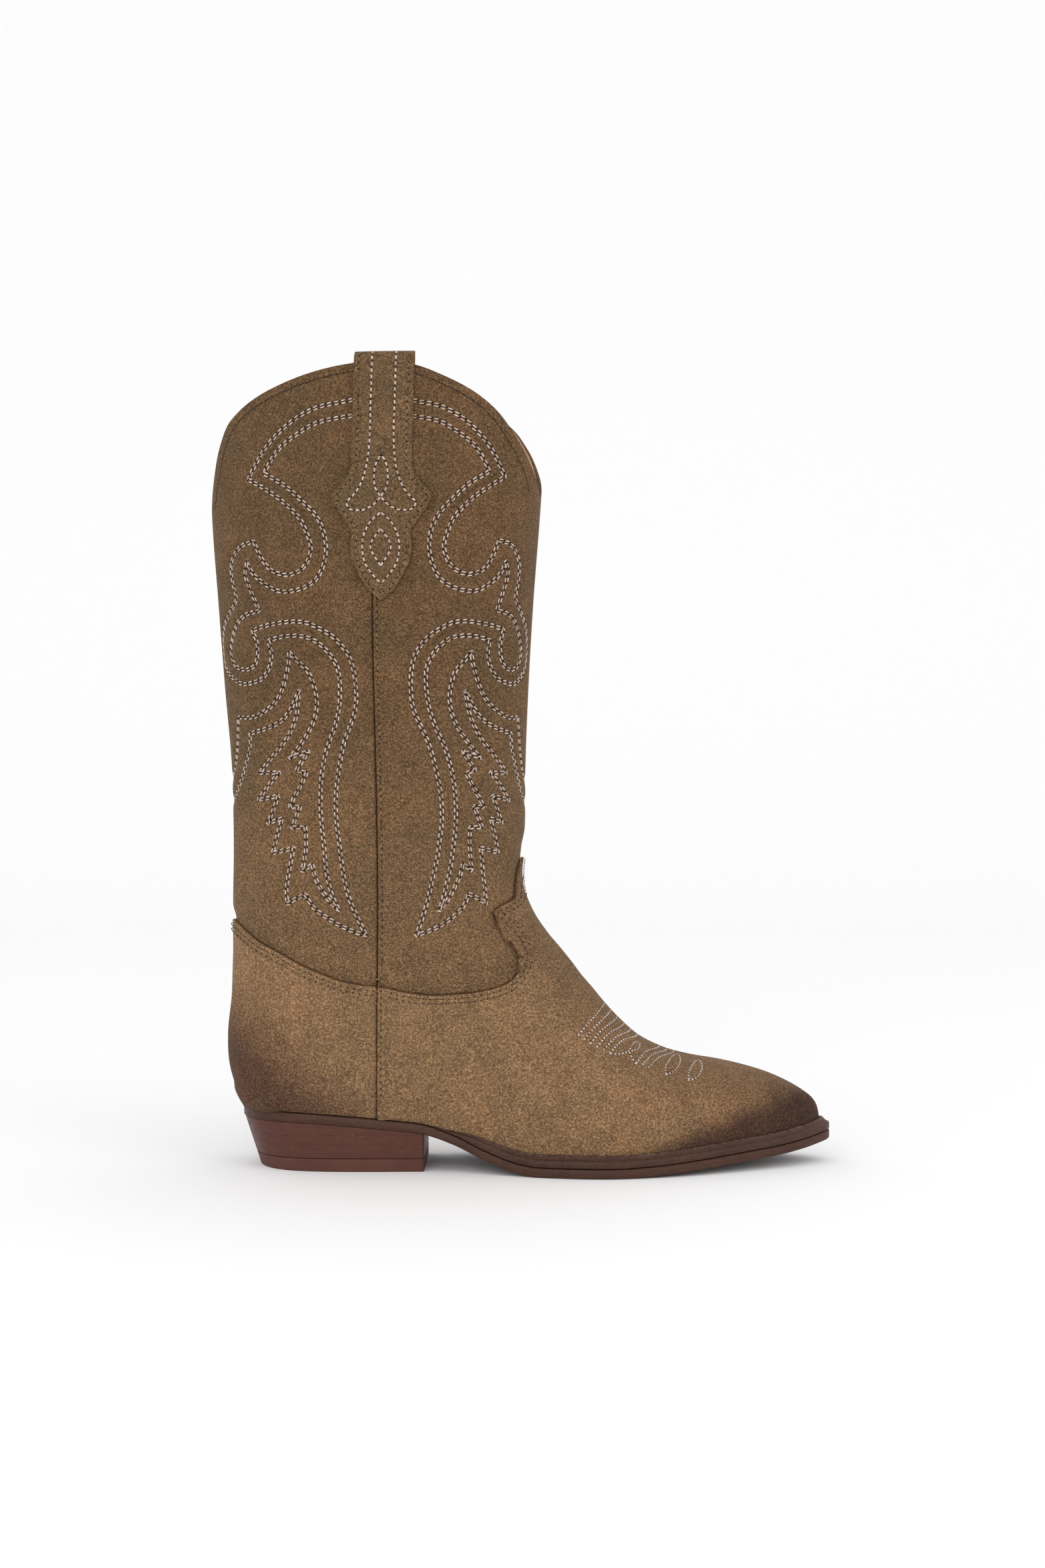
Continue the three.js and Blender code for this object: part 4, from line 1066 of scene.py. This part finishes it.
def beads(frames, template, slant=0.0):
    """The template set down at every frame, its x along the row, turned by the slant about the normal."""
    place, direction, normal = frames
    points, faces = template
    across = np.cross(normal, direction)
    across /= np.linalg.norm(across, axis=1, keepdims=True) + 1e-9
    direction = np.cross(across, normal)
    direction /= np.linalg.norm(direction, axis=1, keepdims=True) + 1e-9
    skewed = direction * np.cos(slant) + across * np.sin(slant)
    across = np.cross(normal, skewed)
    basis = np.stack([skewed, across, normal], 1)
    made = place[:, None] + np.einsum("pk,nkj->npj", points, basis)
    shifted = faces[None] + (np.arange(len(place)) * len(points))[:, None, None]
    return made.reshape(-1, 3), shifted.reshape(-1, 3)


light_bead = bead_template(2.75, thread_across, thread_up)
dark_bead = bead_template(2.3, 0.3, 0.22)
hole_bead = bead_template(0.9, 0.38, 0.2)


def on_piece(t, turn, depth):
    """A line of places and normals on each side of a piece: so deep under the last's face at each place."""
    return [(under_face(t, side * turn, depth + 0 * t), last_outward(t, side * turn)) for side in (1, -1)]


def sewn(name, rows, asides, template, material, pitch=stitch_pitch, start=1.6, slant=0.1):
    """A thread piece: beads along every line at each distance aside. A row has a line on each side of the
    boot."""
    made, faces, count = [], [], 0
    for points, up in (line for row in rows for line in row):
        for aside in asides:
            found = beads(row_frames(points, up, aside, pitch, start), template, slant)
            made.append(found[0])
            faces.append(found[1] + count)
            count += len(found[0])
    points, faces = np.concatenate(made), np.concatenate(faces)
    piece = mesh_from(name, placed(points), faces)
    piece.data.materials.append(material)
    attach(piece, "root")
    return piece


def thread_material(name, base, shade, rough):
    """Twisted thread: a fine lay across the bead and a little soiling from stitch to stitch."""
    material, tree, place = new_material(name)
    soiled = noise(tree, place, 220, 2.0, 0.6)
    lay = noise(tree, place, 3200, 1.0, 0.4)
    colour = blended(tree, between(tree, soiled, 0.35, 0.7), base, shade)
    colour = blended(tree, between(tree, lay, 0.45, 0.7, 0.0, 0.45), colour, shade, "MULTIPLY")
    inputs = {"Base Color": colour, "Roughness": rough, "Specular IOR Level": 0.1}
    set_shader(tree, inputs, lay, 0.4, 0.0001)
    return material


pale_thread = thread_material("pale_thread", (0.66, 0.56, 0.5, 1), (0.42, 0.33, 0.28, 1), 0.6)
brown_thread = thread_material("brown_thread", (0.07, 0.045, 0.027, 1), (0.04, 0.026, 0.018, 1), 0.7)
tan_thread = thread_material("tan_thread", (0.27, 0.185, 0.1, 1), (0.1, 0.062, 0.035, 1), 0.8)
# Needle holes: nearly black beads, painted shade standing in for the dark of each hole.
needle_hole_shade = thread_material("needle_hole_shade", (0.016, 0.011, 0.009, 1), (0.01, 0.008, 0.007, 1), 0.9)

row_depth = valley_depth - 0.14
for part, on_back in (("front", False), ("back", True)):
    fancy = [on_piece(t, turn, row_depth) for t, turn in pattern_rows(on_back)]
    sewn(f"fancy_thread_{part}", fancy, (-0.65, 0.65), light_bead, pale_thread)
    holes = [on_piece(t, turn, row_depth + 0.04) for t, turn in pattern_rows(on_back)]
    sewn(f"fancy_holes_{part}", holes, (-0.65, 0.65), hole_bead, needle_hole_shade, start=3.3, slant=0.7)

toe_lines = [on_piece(t, turn, 0.2 + cover_depth(last_point(t, turn))) for t, turn in toe_rows]
sewn("toe_thread", toe_lines, (0.0,), bead_template(1.7, 0.42, 0.34), pale_thread, pitch=2.1, start=0.9)
sewn("toe_holes", toe_lines, (0.0,), bead_template(0.7, 0.34, 0.22), needle_hole_shade, pitch=2.1, start=1.95)

# Rows that follow an edge: the edge's line drawn in by a distance.


def drawn_in(line, inset):
    """A line seen from the side, moved to its right by inset."""
    ahead = np.gradient(line, axis=0)
    ahead /= np.linalg.norm(ahead, axis=1, keepdims=True)
    return line + inset * np.c_[ahead[:, 1], -ahead[:, 0]]


def edge_row(line, inset, depth):
    """Places and normals of a row that runs inset in from an edge, so deep under the face."""
    t, turn = chart_of(*drawn_in(line, inset).T)
    return on_piece(t, turn, depth)


row_insets = (1.7, 3.8)      # the two rows along an edge
thread_proud = 0.02          # how far the middle of a stitch stands out of the leather
cover_rows = [edge_row(line, inset, -cover_lift - thread_proud)
              for line in (vamp_line, heel_line[::-1]) for inset in row_insets]
sewn("cover_thread", cover_rows, (0.0,), dark_bead, tan_thread, pitch=edge_pitch)
edge_hole = bead_template(0.75, 0.34, 0.24)
sewn("cover_holes", cover_rows, (0.0,), edge_hole, needle_hole_shade, pitch=edge_pitch, start=3.1)

collar_drawn = drawn_line(collar_line[1:-1], 0.4)
collar_front = np.interp(collar_drawn[:, 1], front_edge[:, 1], front_edge[:, 0])
on_shaft = (collar_drawn[:, 0] < collar_front) & (collar_drawn[:, 0] > -147.6)
collar_rows = [edge_row(collar_drawn[on_shaft], row_insets[1], -thread_proud)]
sewn("collar_thread", collar_rows, (0.0,), dark_bead, brown_thread, pitch=edge_pitch)
sewn("collar_holes", collar_rows, (0.0,), edge_hole, needle_hole_shade, pitch=edge_pitch, start=3.1)


def seam_line(offset, low, high):
    """The side seam from a height to another, moved towards the toe by offset."""
    z = np.arange(low, high, 0.5)
    return np.c_[smooth_curve(side_seam, z) + offset, z]


shaft_seam = [edge_row(seam_line(row_insets[0], 86.5, 330), 0.0, -seam_rise - thread_proud)]
sewn("side_seam_thread", shaft_seam, (0.0,), dark_bead, tan_thread, pitch=edge_pitch)
sewn("side_seam_holes", shaft_seam, (0.0,), edge_hole, needle_hole_shade, pitch=edge_pitch, start=3.1)
foot_z = np.arange(30, 85, 0.5)
foot_seam = np.stack([smooth_curve(side_seam, foot_z), 0 * foot_z, foot_z], -1)
low_seam = [edge_row(seam_line(offset, 30, 85), 0.0, cover_depth(foot_seam) - rise)
            for offset, rise in ((1.6, 0.8), (3.8, 0.2))]
sewn("vamp_seam_thread", low_seam, (0.0,), dark_bead, tan_thread, pitch=edge_pitch)
sewn("vamp_seam_holes", low_seam[:1], (0.0,), edge_hole, needle_hole_shade, pitch=edge_pitch, start=3.1)

# The straps' rows, as distance from the strap's centre line and depth below the collar.
strap_rows = [
    [(5.4, -4.3), (5.4, 20), (5.5, 37), (6.9, 49), (10.4, 58.4), (15.9, 64.4)],
    [(15.9, 64.4), (14.4, 67.2), (11, 68), (7.4, 67.7), (3.4, 65.6), (0, 62)],
    [(0, 62), (2.6, 57.6), (3.1, 52.3), (2.4, 47.4), (0, 42.6)],
    [(0, 69), (4.6, 73.2), (7.7, 79.5), (8.3, 86), (6.6, 93), (0.4, 101)],
    [(0, 76.2), (4.6, 84.4), (0.2, 93)],
]


def strap_line(points, mirror):
    """A row on the strap's face, which follows it round over the collar, and the way out of it."""
    across, drop = drawn_line(points, 0.4).T
    x = strap_centre_x + mirror * across - drop * strap_lean
    t, turn = chart_of(x, collar_top - drop)
    over = np.clip((collar_top - drop - strap_bend) / (strap_loop_top - strap_bend), 0, 0.98)
    facing = np.sqrt(1 - over ** 2)
    lines = on_piece(t, turn, strap_middle - strap_radius * facing - 0.08)
    return [(place, out * facing[:, None] + [0, 0, 1] * over[:, None]) for place, out in lines]


strap_lines = [strap_line(row, mirror) for row in strap_rows for mirror in (-1, 1)]
strap_bead = bead_template(2.2, 0.42, 0.34)
sewn("strap_thread", strap_lines, (0.0,), strap_bead, pale_thread, pitch=2.9, start=1.3)
sewn("strap_holes", strap_lines, (0.0,), hole_bead, needle_hole_shade, pitch=2.9, start=2.75)
strap_edge = np.c_[strap_end[1:, 1] - 2.4, strap_end[1:, 0]]
strap_edge = np.r_[[(11.3, -4.2)], strap_edge[:-1], [(0.2, 105.4)]]
edge_lines = [strap_line(strap_edge, mirror) for mirror in (-1, 1)]
sewn("strap_edge_thread", edge_lines, (0.0,), dark_bead, tan_thread, pitch=edge_pitch)
sewn("strap_edge_holes", edge_lines, (0.0,), edge_hole, needle_hole_shade, pitch=edge_pitch, start=3.1)

# ---------------------------------------------------------------- welt
# A strip of waxed leather sewn round the forefoot between upper and outsole. Its edge is trimmed flush with
# the outsole, and its inner lip rises to a rubbed crest beside a channel that is painted dark as shade.

welt_start = -40.0
welt_profile = np.array([    # inset and height
    [0.25, 0.0], [0.0, 0.25], [0.0, 2.2], [0.12, 2.75], [0.5, 3.1], [1.2, 3.3], [1.9, 3.75], [2.6, 4.5],
    [3.2, 5.15], [3.75, 5.4], [4.2, 5.2], [4.5, 4.5], [4.8, 3.6], [5.3, 3.2], [5.3, 0.0],
])


def plan_loop(count, start=None):
    """Places round the outsole's plan, evenly by length, with the way in from each: the whole loop, or from
    start on one side round the toe to start on the other."""
    turn = np.linspace(0, 2 * np.pi, 4001)
    low, high = sole_plan[0, 0], sole_plan[-1, 0]
    x = (low + high) / 2 - (high - low) / 2 * np.cos(turn)
    y = sole_centre(x) + np.where(turn < np.pi, -1, 1) * sole_half(x)
    if start is not None:
        kept = x > start
        x, y = x[kept], y[kept]
    length = np.r_[0, np.cumsum(np.hypot(np.diff(x), np.diff(y)))]
    at = np.linspace(0, length[-1], count)
    x, y = np.interp(at, length, x), np.interp(at, length, y)
    ahead = np.stack([np.gradient(x), np.gradient(y)], 1)
    if start is None:
        ahead[0] = ahead[-1] = (0, -1)
    ahead /= np.linalg.norm(ahead, axis=1, keepdims=True)
    return np.stack([x, y], 1), np.stack([-ahead[:, 1], ahead[:, 0]], 1)


def strip_solid(sections):
    """A closed strip from its sections (count, profile, 3): walls round the profile, and a fan at each
    end."""
    count, profile = sections.shape[:2]
    faces = sheet_faces(count, profile, closed=True)
    ends = np.arange(1, profile - 1)
    first = np.stack([0 * ends, ends, ends + 1, ends + 1], -1)
    last = (count - 1) * profile + first[:, ::-1]
    triangles = np.r_[faces[:, [0, 1, 2]], faces[:, [0, 2, 3]], first[:, :3], last[:, [1, 2, 3]]]
    return sections.reshape(-1, 3), triangles


def welt_sections():
    """The welt's profile carried along the plan's edge: heights shrink to nothing at the waist, and widths
    follow how far the outsole stands out there."""
    edge, inward = plan_loop(420, welt_start)
    share = np.maximum(welt_share(edge[:, 0]), 0.1)[:, None]
    reach = np.clip((feather_reach(edge[:, 0]) - 0.55) / 5.25, 0.2, 1)[:, None]
    inset, rise = welt_profile.T
    flat = edge[:, None] + inward[:, None] * (inset * reach)[..., None]
    height = sole_low(edge[:, 0])[:, None] + sole_thickness + leather_gap + rise * share
    return np.concatenate([flat, height[..., None]], -1)


def oriented(points, faces):
    """Faces turned so that the closed mesh has a positive volume."""
    a, b, c = points[faces[:, 0]], points[faces[:, 1]], points[faces[:, 2]]
    volume = np.sum(a * np.cross(b, c))
    return faces if volume > 0 else faces[:, ::-1]


def edge_leather(name, dark, light, rub, own_wear_and_shade=None):
    """Waxed leather edge: brown with fine grain drawn out along the edge, rubbed paler in specks, with a soft
    polish that breaks up where it is scuffed, and then the piece's own wear and painted shade."""
    material, tree, place = new_material(name)
    stretched = add_node(tree, "ShaderNodeMapping", {"Vector": place, "Scale": (1.0, 1.0, 7.0)}).outputs[0]
    streak = noise(tree, stretched, 190, 4.0, 0.65, 0.4)
    cloud = noise(tree, place, 55, 3.0, 0.55)
    scuff = noise(tree, place, 620, 3.0, 0.7)
    colour = blended(tree, between(tree, streak, 0.3, 0.7), dark, light)
    colour = blended(tree, between(tree, cloud, 0.35, 0.7, 0.0, 0.4), colour, (0.55, 0.5, 0.5, 1), "MULTIPLY")
    worn = maths(tree, "MULTIPLY", between(tree, scuff, 0.42, 0.6), rub)
    colour = blended(tree, worn, colour, (0.22, 0.14, 0.1, 1))
    if own_wear_and_shade:
        colour = own_wear_and_shade(tree, place, colour)
    height = maths(tree, "ADD", maths(tree, "MULTIPLY", streak, 0.6), maths(tree, "MULTIPLY", scuff, 0.4))
    inputs = {"Base Color": colour, "Roughness": between(tree, scuff, 0.3, 0.7, 0.36, 0.6),
              "Specular IOR Level": 0.2}
    set_shader(tree, inputs, height, 0.35, 0.0003)
    return material


def sole_piece(name, points, faces, material, node, slot_name, values=None):
    """A piece of the bottom from its closed mesh in the drawing, which stands without the shaft's lean."""
    piece = mesh_from(name, (points + part_shift) * 0.001, oriented(points, faces), values)
    piece.data.materials.append(material)
    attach(piece, "root")
    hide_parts(node)
    return piece


def crest_wear_and_channel_shade(tree, place, colour):
    """The welt's own wear and painted shade: a pale, scuffed crest, and painted shade, nearly black, in
    the channel between it and the upper.
    """
    scuff = noise(tree, place, 420, 4.0, 0.7)
    crest = add_node(tree, "ShaderNodeAttribute", attribute_name="crest").outputs["Fac"]
    channel = add_node(tree, "ShaderNodeAttribute", attribute_name="channel").outputs["Fac"]
    worn = maths(tree, "MULTIPLY", crest, between(tree, scuff, 0.42, 0.66, 0.0, 0.6))
    colour = blended(tree, worn, colour, (0.17, 0.115, 0.09, 1))
    # Painted shade: the channel between the lip and the upper is coloured nearly black.
    return blended(tree, channel, colour, (0.014, 0.008, 0.006, 1))


welt_edge = edge_leather("welt_edge", (0.046, 0.02, 0.0125, 1), (0.068, 0.031, 0.02, 1), 0.08, crest_wear_and_channel_shade)
welt_points = welt_sections()
crest = np.tile(ramp(4.2, 5.2, welt_profile[:, 1]), len(welt_points))
channel = np.tile(ramp(4.35, 4.9, welt_profile[:, 0]), len(welt_points))
sole_piece("welt_strip", *strip_solid(welt_points), welt_edge, "welt", "welt_leather",
           {"crest": crest, "channel": channel})

# ---------------------------------------------------------------- outsole
# One leather outsole from heel to toe, trimmed square with eased corners, its edge stained and waxed.

sole_profile = [             # inset and height
    (8.0, 0.0), (3.0, 0.0), (1.0, 0.05), (0.3, 0.25), (0.0, 0.75), (0.0, 2.2), (0.0, 3.6), (0.15, 4.05),
    (0.6, 4.35), (1.2, 4.5), (3.0, 4.5), (8.0, 4.5),
]


def centre_ring(edge, low_end, high_end):
    """The point of the centre line that each place on the plan's edge is nearest to."""
    x = np.clip(edge[:, 0], low_end, high_end)
    return np.stack([x, sole_centre(x)], 1)


def sole_rings():
    """The outsole as rings: the profile's inset and height carried round the plan, and the first and last
    ring drawn together on the centre line."""
    edge, inward = plan_loop(521)
    edge, inward = edge[:-1], inward[:-1]
    centre = centre_ring(edge, -108, 128)
    square = ramp(-38, -48, edge[:, 0])
    rings = []
    for inset, height in sole_profile:
        flat = edge + (centre - edge) * 0.45 if inset > 4 else edge + inward * inset
        eased = height * (1 - 0.8 * square) if height < 1 else height
        rings.append(np.c_[flat, sole_low(flat[:, 0]) + eased])
    rings.insert(0, np.c_[centre, sole_low(centre[:, 0])])
    rings.append(np.c_[centre, sole_low(centre[:, 0]) + sole_thickness])
    return np.array(rings)


def ring_solid(rings):
    """A closed solid from rings whose first and last have drawn together on a line."""
    faces = sheet_faces(*rings.shape[:2], closed=True)
    return rings.reshape(-1, 3), np.r_[faces[:, [0, 1, 2]], faces[:, [0, 2, 3]]]


sole_edge = edge_leather("sole_edge", (0.052, 0.022, 0.0125, 1), (0.074, 0.032, 0.02, 1), 0.04)
sole_piece("outsole_leather", *ring_solid(sole_rings()), sole_edge, "outsole", "sole_leather")

# ---------------------------------------------------------------- heel
# A stacked leather heel, trimmed to taper down and in, with a flat breast, on a rubber top lift.

breast_x, heel_joint = -45.5, 6.0
heel_slope, heel_side_slope = 0.32, 0.1


def heel_outline(drop, count=150):
    """The heel's outline at a level so far below the seat: round the back like the outsole, drawn in by the
    drop, and straight across the breast with eased corners."""
    back = sole_plan[0, 0] + 0.4 + heel_slope * drop
    turn = np.linspace(0, np.pi / 2, count)
    share = 1 - np.cos(turn)
    like_x = sole_plan[0, 0] + 0.05 + share * (breast_x - sole_plan[0, 0])
    half = np.maximum(sole_half(like_x) - 0.4 - heel_side_slope * drop, 0)
    half[0] = 0
    x = back + (breast_x - back) * share
    corner = np.clip((x - (breast_x - 1.2)) / 1.2, 0, 1)
    half = half - 1.2 * (1 - np.sqrt(1 - corner ** 2))
    across = np.linspace(1, -1, 30)[1:-1]
    outer = np.c_[x, sole_centre(x) - half]
    inner = np.c_[x, sole_centre(x) + half][::-1]
    breast = np.c_[0 * across + breast_x, sole_centre(breast_x) - half[-1] * across]
    return np.r_[outer, breast, inner[:-1]]


seat_height = sole_low(-120)
seat_gap = 0.03
heel_levels = (0.0, 0.03, 0.1, 0.25, 0.4, 0.55, 0.7, 0.85, 0.95, 1.0)


def heel_rings(low, high, eased, under_sole):
    """Rings of the heel between two heights, with eased edges and both ends drawn together on the centre
    line. Under the sole, the top follows the outsole's underside and isn't eased."""
    rings = []
    for level in heel_levels:
        outline = heel_outline(seat_height - low - (high - low) * level)
        top = sole_low(outline[:, 0]) - seat_gap if under_sole else high
        inward = np.array([-88.0, -0.5]) - outline
        inward /= np.linalg.norm(inward, axis=1, keepdims=True)
        pull = eased if level == 0 or (level == 1 and not under_sole) else 0
        rings.append(np.c_[outline + inward * pull, low + (top - low) * level + 0 * outline[:, 0]])
    centre_x = np.clip(rings[0][:, 0], -112, -52)
    centre = np.c_[centre_x, sole_centre(centre_x)]
    top = sole_low(centre_x) - seat_gap if under_sole else high + 0 * centre_x
    return np.array([np.c_[centre, low + 0 * centre_x], *rings, np.c_[centre, top]])


layer_thickness = 0.0042     # of one lift of the stack, in metres


def stacked_leather():
    """Stacked heel leather, stained brown: faint layers, fine grain along them and a waxed polish."""
    material, tree, place = new_material("stacked_leather")
    up = add_node(tree, "ShaderNodeSeparateXYZ", {0: place}).outputs["Z"]
    waver = maths(tree, "MULTIPLY", noise(tree, place, 40, 2.0), 0.002)
    level = maths(tree, "MULTIPLY", maths(tree, "ADD", up, waver), 2 * np.pi / layer_thickness)
    layer = between(tree, maths(tree, "SINE", level), 0.9, 1.0, 0.0, 0.35)
    stretched = add_node(tree, "ShaderNodeMapping", {"Vector": place, "Scale": (1.0, 1.0, 9.0)}).outputs[0]
    streak = noise(tree, stretched, 160, 4.0, 0.65, 0.3)
    scuff = noise(tree, place, 480, 3.0, 0.7)
    grain = between(tree, streak, 0.3, 0.7)
    colour = blended(tree, grain, (0.078, 0.027, 0.018, 1), (0.098, 0.036, 0.024, 1))
    colour = blended(tree, layer, colour, (0.055, 0.02, 0.014, 1))
    colour = blended(tree, between(tree, scuff, 0.6, 0.75, 0.0, 0.3), colour, (0.2, 0.12, 0.09, 1))
    height = maths(tree, "SUBTRACT", maths(tree, "MULTIPLY", scuff, 0.3), layer)
    inputs = {"Base Color": colour, "Roughness": between(tree, scuff, 0.3, 0.7, 0.38, 0.56),
              "Specular IOR Level": 0.22}
    set_shader(tree, inputs, height, 0.3, 0.0003)
    return material


def lift_rubber():
    """Brown rubber of the top lift: matt, with a fine grit."""
    material, tree, place = new_material("lift_rubber")
    grit = noise(tree, place, 900, 3.0, 0.6)
    cloud = noise(tree, place, 60, 2.0)
    colour = blended(tree, between(tree, cloud, 0.3, 0.7), (0.09, 0.034, 0.025, 1), (0.112, 0.046, 0.034, 1))
    inputs = {"Base Color": colour, "Roughness": between(tree, grit, 0.3, 0.7, 0.55, 0.7),
              "Specular IOR Level": 0.2}
    set_shader(tree, inputs, grit, 0.25, 0.0002)
    return material


stack_rings = heel_rings(heel_joint + 0.2, seat_height, 0.25, True)
sole_piece("heel_stack", *ring_solid(stack_rings), stacked_leather(), "heel_block", "heel_leather")
lift_rings = heel_rings(0.0, heel_joint, 0.3, False)
sole_piece("heel_lift", *ring_solid(lift_rings), lift_rubber(), "heel_top_lift", "top_lift_rubber")

# ---------------------------------------------------------------- inside the foot
# The parts that the finished boot hides keep the plain forms they are cut to: fibreboard insole and
# stiffeners, a cork filler, a steel shank, six heel nails, and the leather sock that lies over them.


def inner_material(name, base, shade, scale, rough, metal=0.0):
    """A plain worked surface: two tones in a cloud of the given fineness, a matching roughness and its
    relief."""
    material, tree, place = new_material(name)
    cloud = noise(tree, place, scale, 4.0, 0.6)
    colour = blended(tree, between(tree, cloud, 0.35, 0.65), base, shade)
    inputs = {"Base Color": colour, "Roughness": between(tree, cloud, 0.3, 0.7, rough, rough * 0.8),
              "Metallic": metal}
    set_shader(tree, inputs, cloud, 0.3, 0.0002)
    return material


board = inner_material("fibreboard", (0.42, 0.31, 0.19, 1), (0.3, 0.21, 0.12, 1), 700, 0.9)
cork = inner_material("cork", (0.4, 0.24, 0.12, 1), (0.13, 0.07, 0.035, 1), 520, 0.95)
steel = inner_material("steel", (0.5, 0.5, 0.51, 1), (0.36, 0.36, 0.37, 1), 300, 0.4, 1.0)
inner_finish = {"toe_puff": board, "heel_stiffener": board, "insole_board": board, "cork_filler": cork,
                "shank": steel, "sock_liner": lining_leather}
inner_finish.update({f"heel_nail_{i}": steel for i in range(1, 7)})
for node, material in inner_finish.items():
    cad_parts[node].data.materials.clear()
    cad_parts[node].data.materials.append(material)

# ---------------------------------------------------------------- studio
# A pale floor that curves up into a backdrop, a white surround, two soft boxes and the camera, which stands
# level with the ankle on the boot's outer side.

floor_front, curve_start, curve_radius, curve_top = -6.0, 1.7, 0.9, 3.2


def studio_floor():
    """The floor's profile carried sideways: level, then a quarter circle, then upright."""
    turn = np.linspace(0, np.pi / 2, 24)
    y = np.r_[floor_front, curve_start + curve_radius * np.sin(turn), curve_start + curve_radius]
    z = np.r_[0.0, curve_radius * (1 - np.cos(turn)), curve_top]
    x = np.linspace(-5, 5, 3)
    points = np.stack(np.broadcast_arrays(x[:, None], y[None], z[None]), -1)
    floor = mesh_from("floor", points.reshape(-1, 3), sheet_faces(len(x), len(y)))
    material, tree, _ = new_material("floor_paper")
    inputs = {"Base Color": (0.93, 0.93, 0.935, 1), "Roughness": 0.9}
    shader = add_node(tree, "ShaderNodeBsdfPrincipled", inputs)
    output = add_node(tree, "ShaderNodeOutputMaterial")
    tree.links.new(shader.outputs["BSDF"], output.inputs["Surface"])
    floor.data.materials.append(material)


def soft_box(name, place, target, size, power):
    """A square area light at place, facing target."""
    light = bpy.data.lights.new(name, "AREA")
    light.shape = "SQUARE"
    light.size = size
    light.energy = power
    lamp = bpy.data.objects.new(name, light)
    lamp.location = place
    lamp.rotation_euler = (Vector(target) - Vector(place)).to_track_quat("-Z", "Y").to_euler()
    bpy.context.scene.collection.objects.link(lamp)


studio_floor()
soft_box("front_box", (-0.35, -1.75, 0.75), (0.0, 0.0, 0.15), 1.0, 7)
soft_box("side_box", (1.3, -1.3, 0.9), (0.0, 0.0, 0.15), 0.9, 3)

surround = bpy.data.worlds.new("surround")
surround.use_nodes = True
surround.node_tree.nodes["Background"].inputs["Color"].default_value = (1, 1, 1, 1)
surround.node_tree.nodes["Background"].inputs["Strength"].default_value = 1.03
bpy.context.scene.world = surround
bpy.context.scene.view_settings.view_transform = "Standard"

camera_data = bpy.data.cameras.new("camera")
camera_data.sensor_fit = "VERTICAL"
camera_data.sensor_height = 24
camera_data.lens = 33.9
camera = bpy.data.objects.new("camera", camera_data)
camera.location = (0.0006, -1.05, 0.179)
camera.rotation_euler = (np.pi / 2, 0, 0)
bpy.context.scene.collection.objects.link(camera)
bpy.context.scene.camera = camera
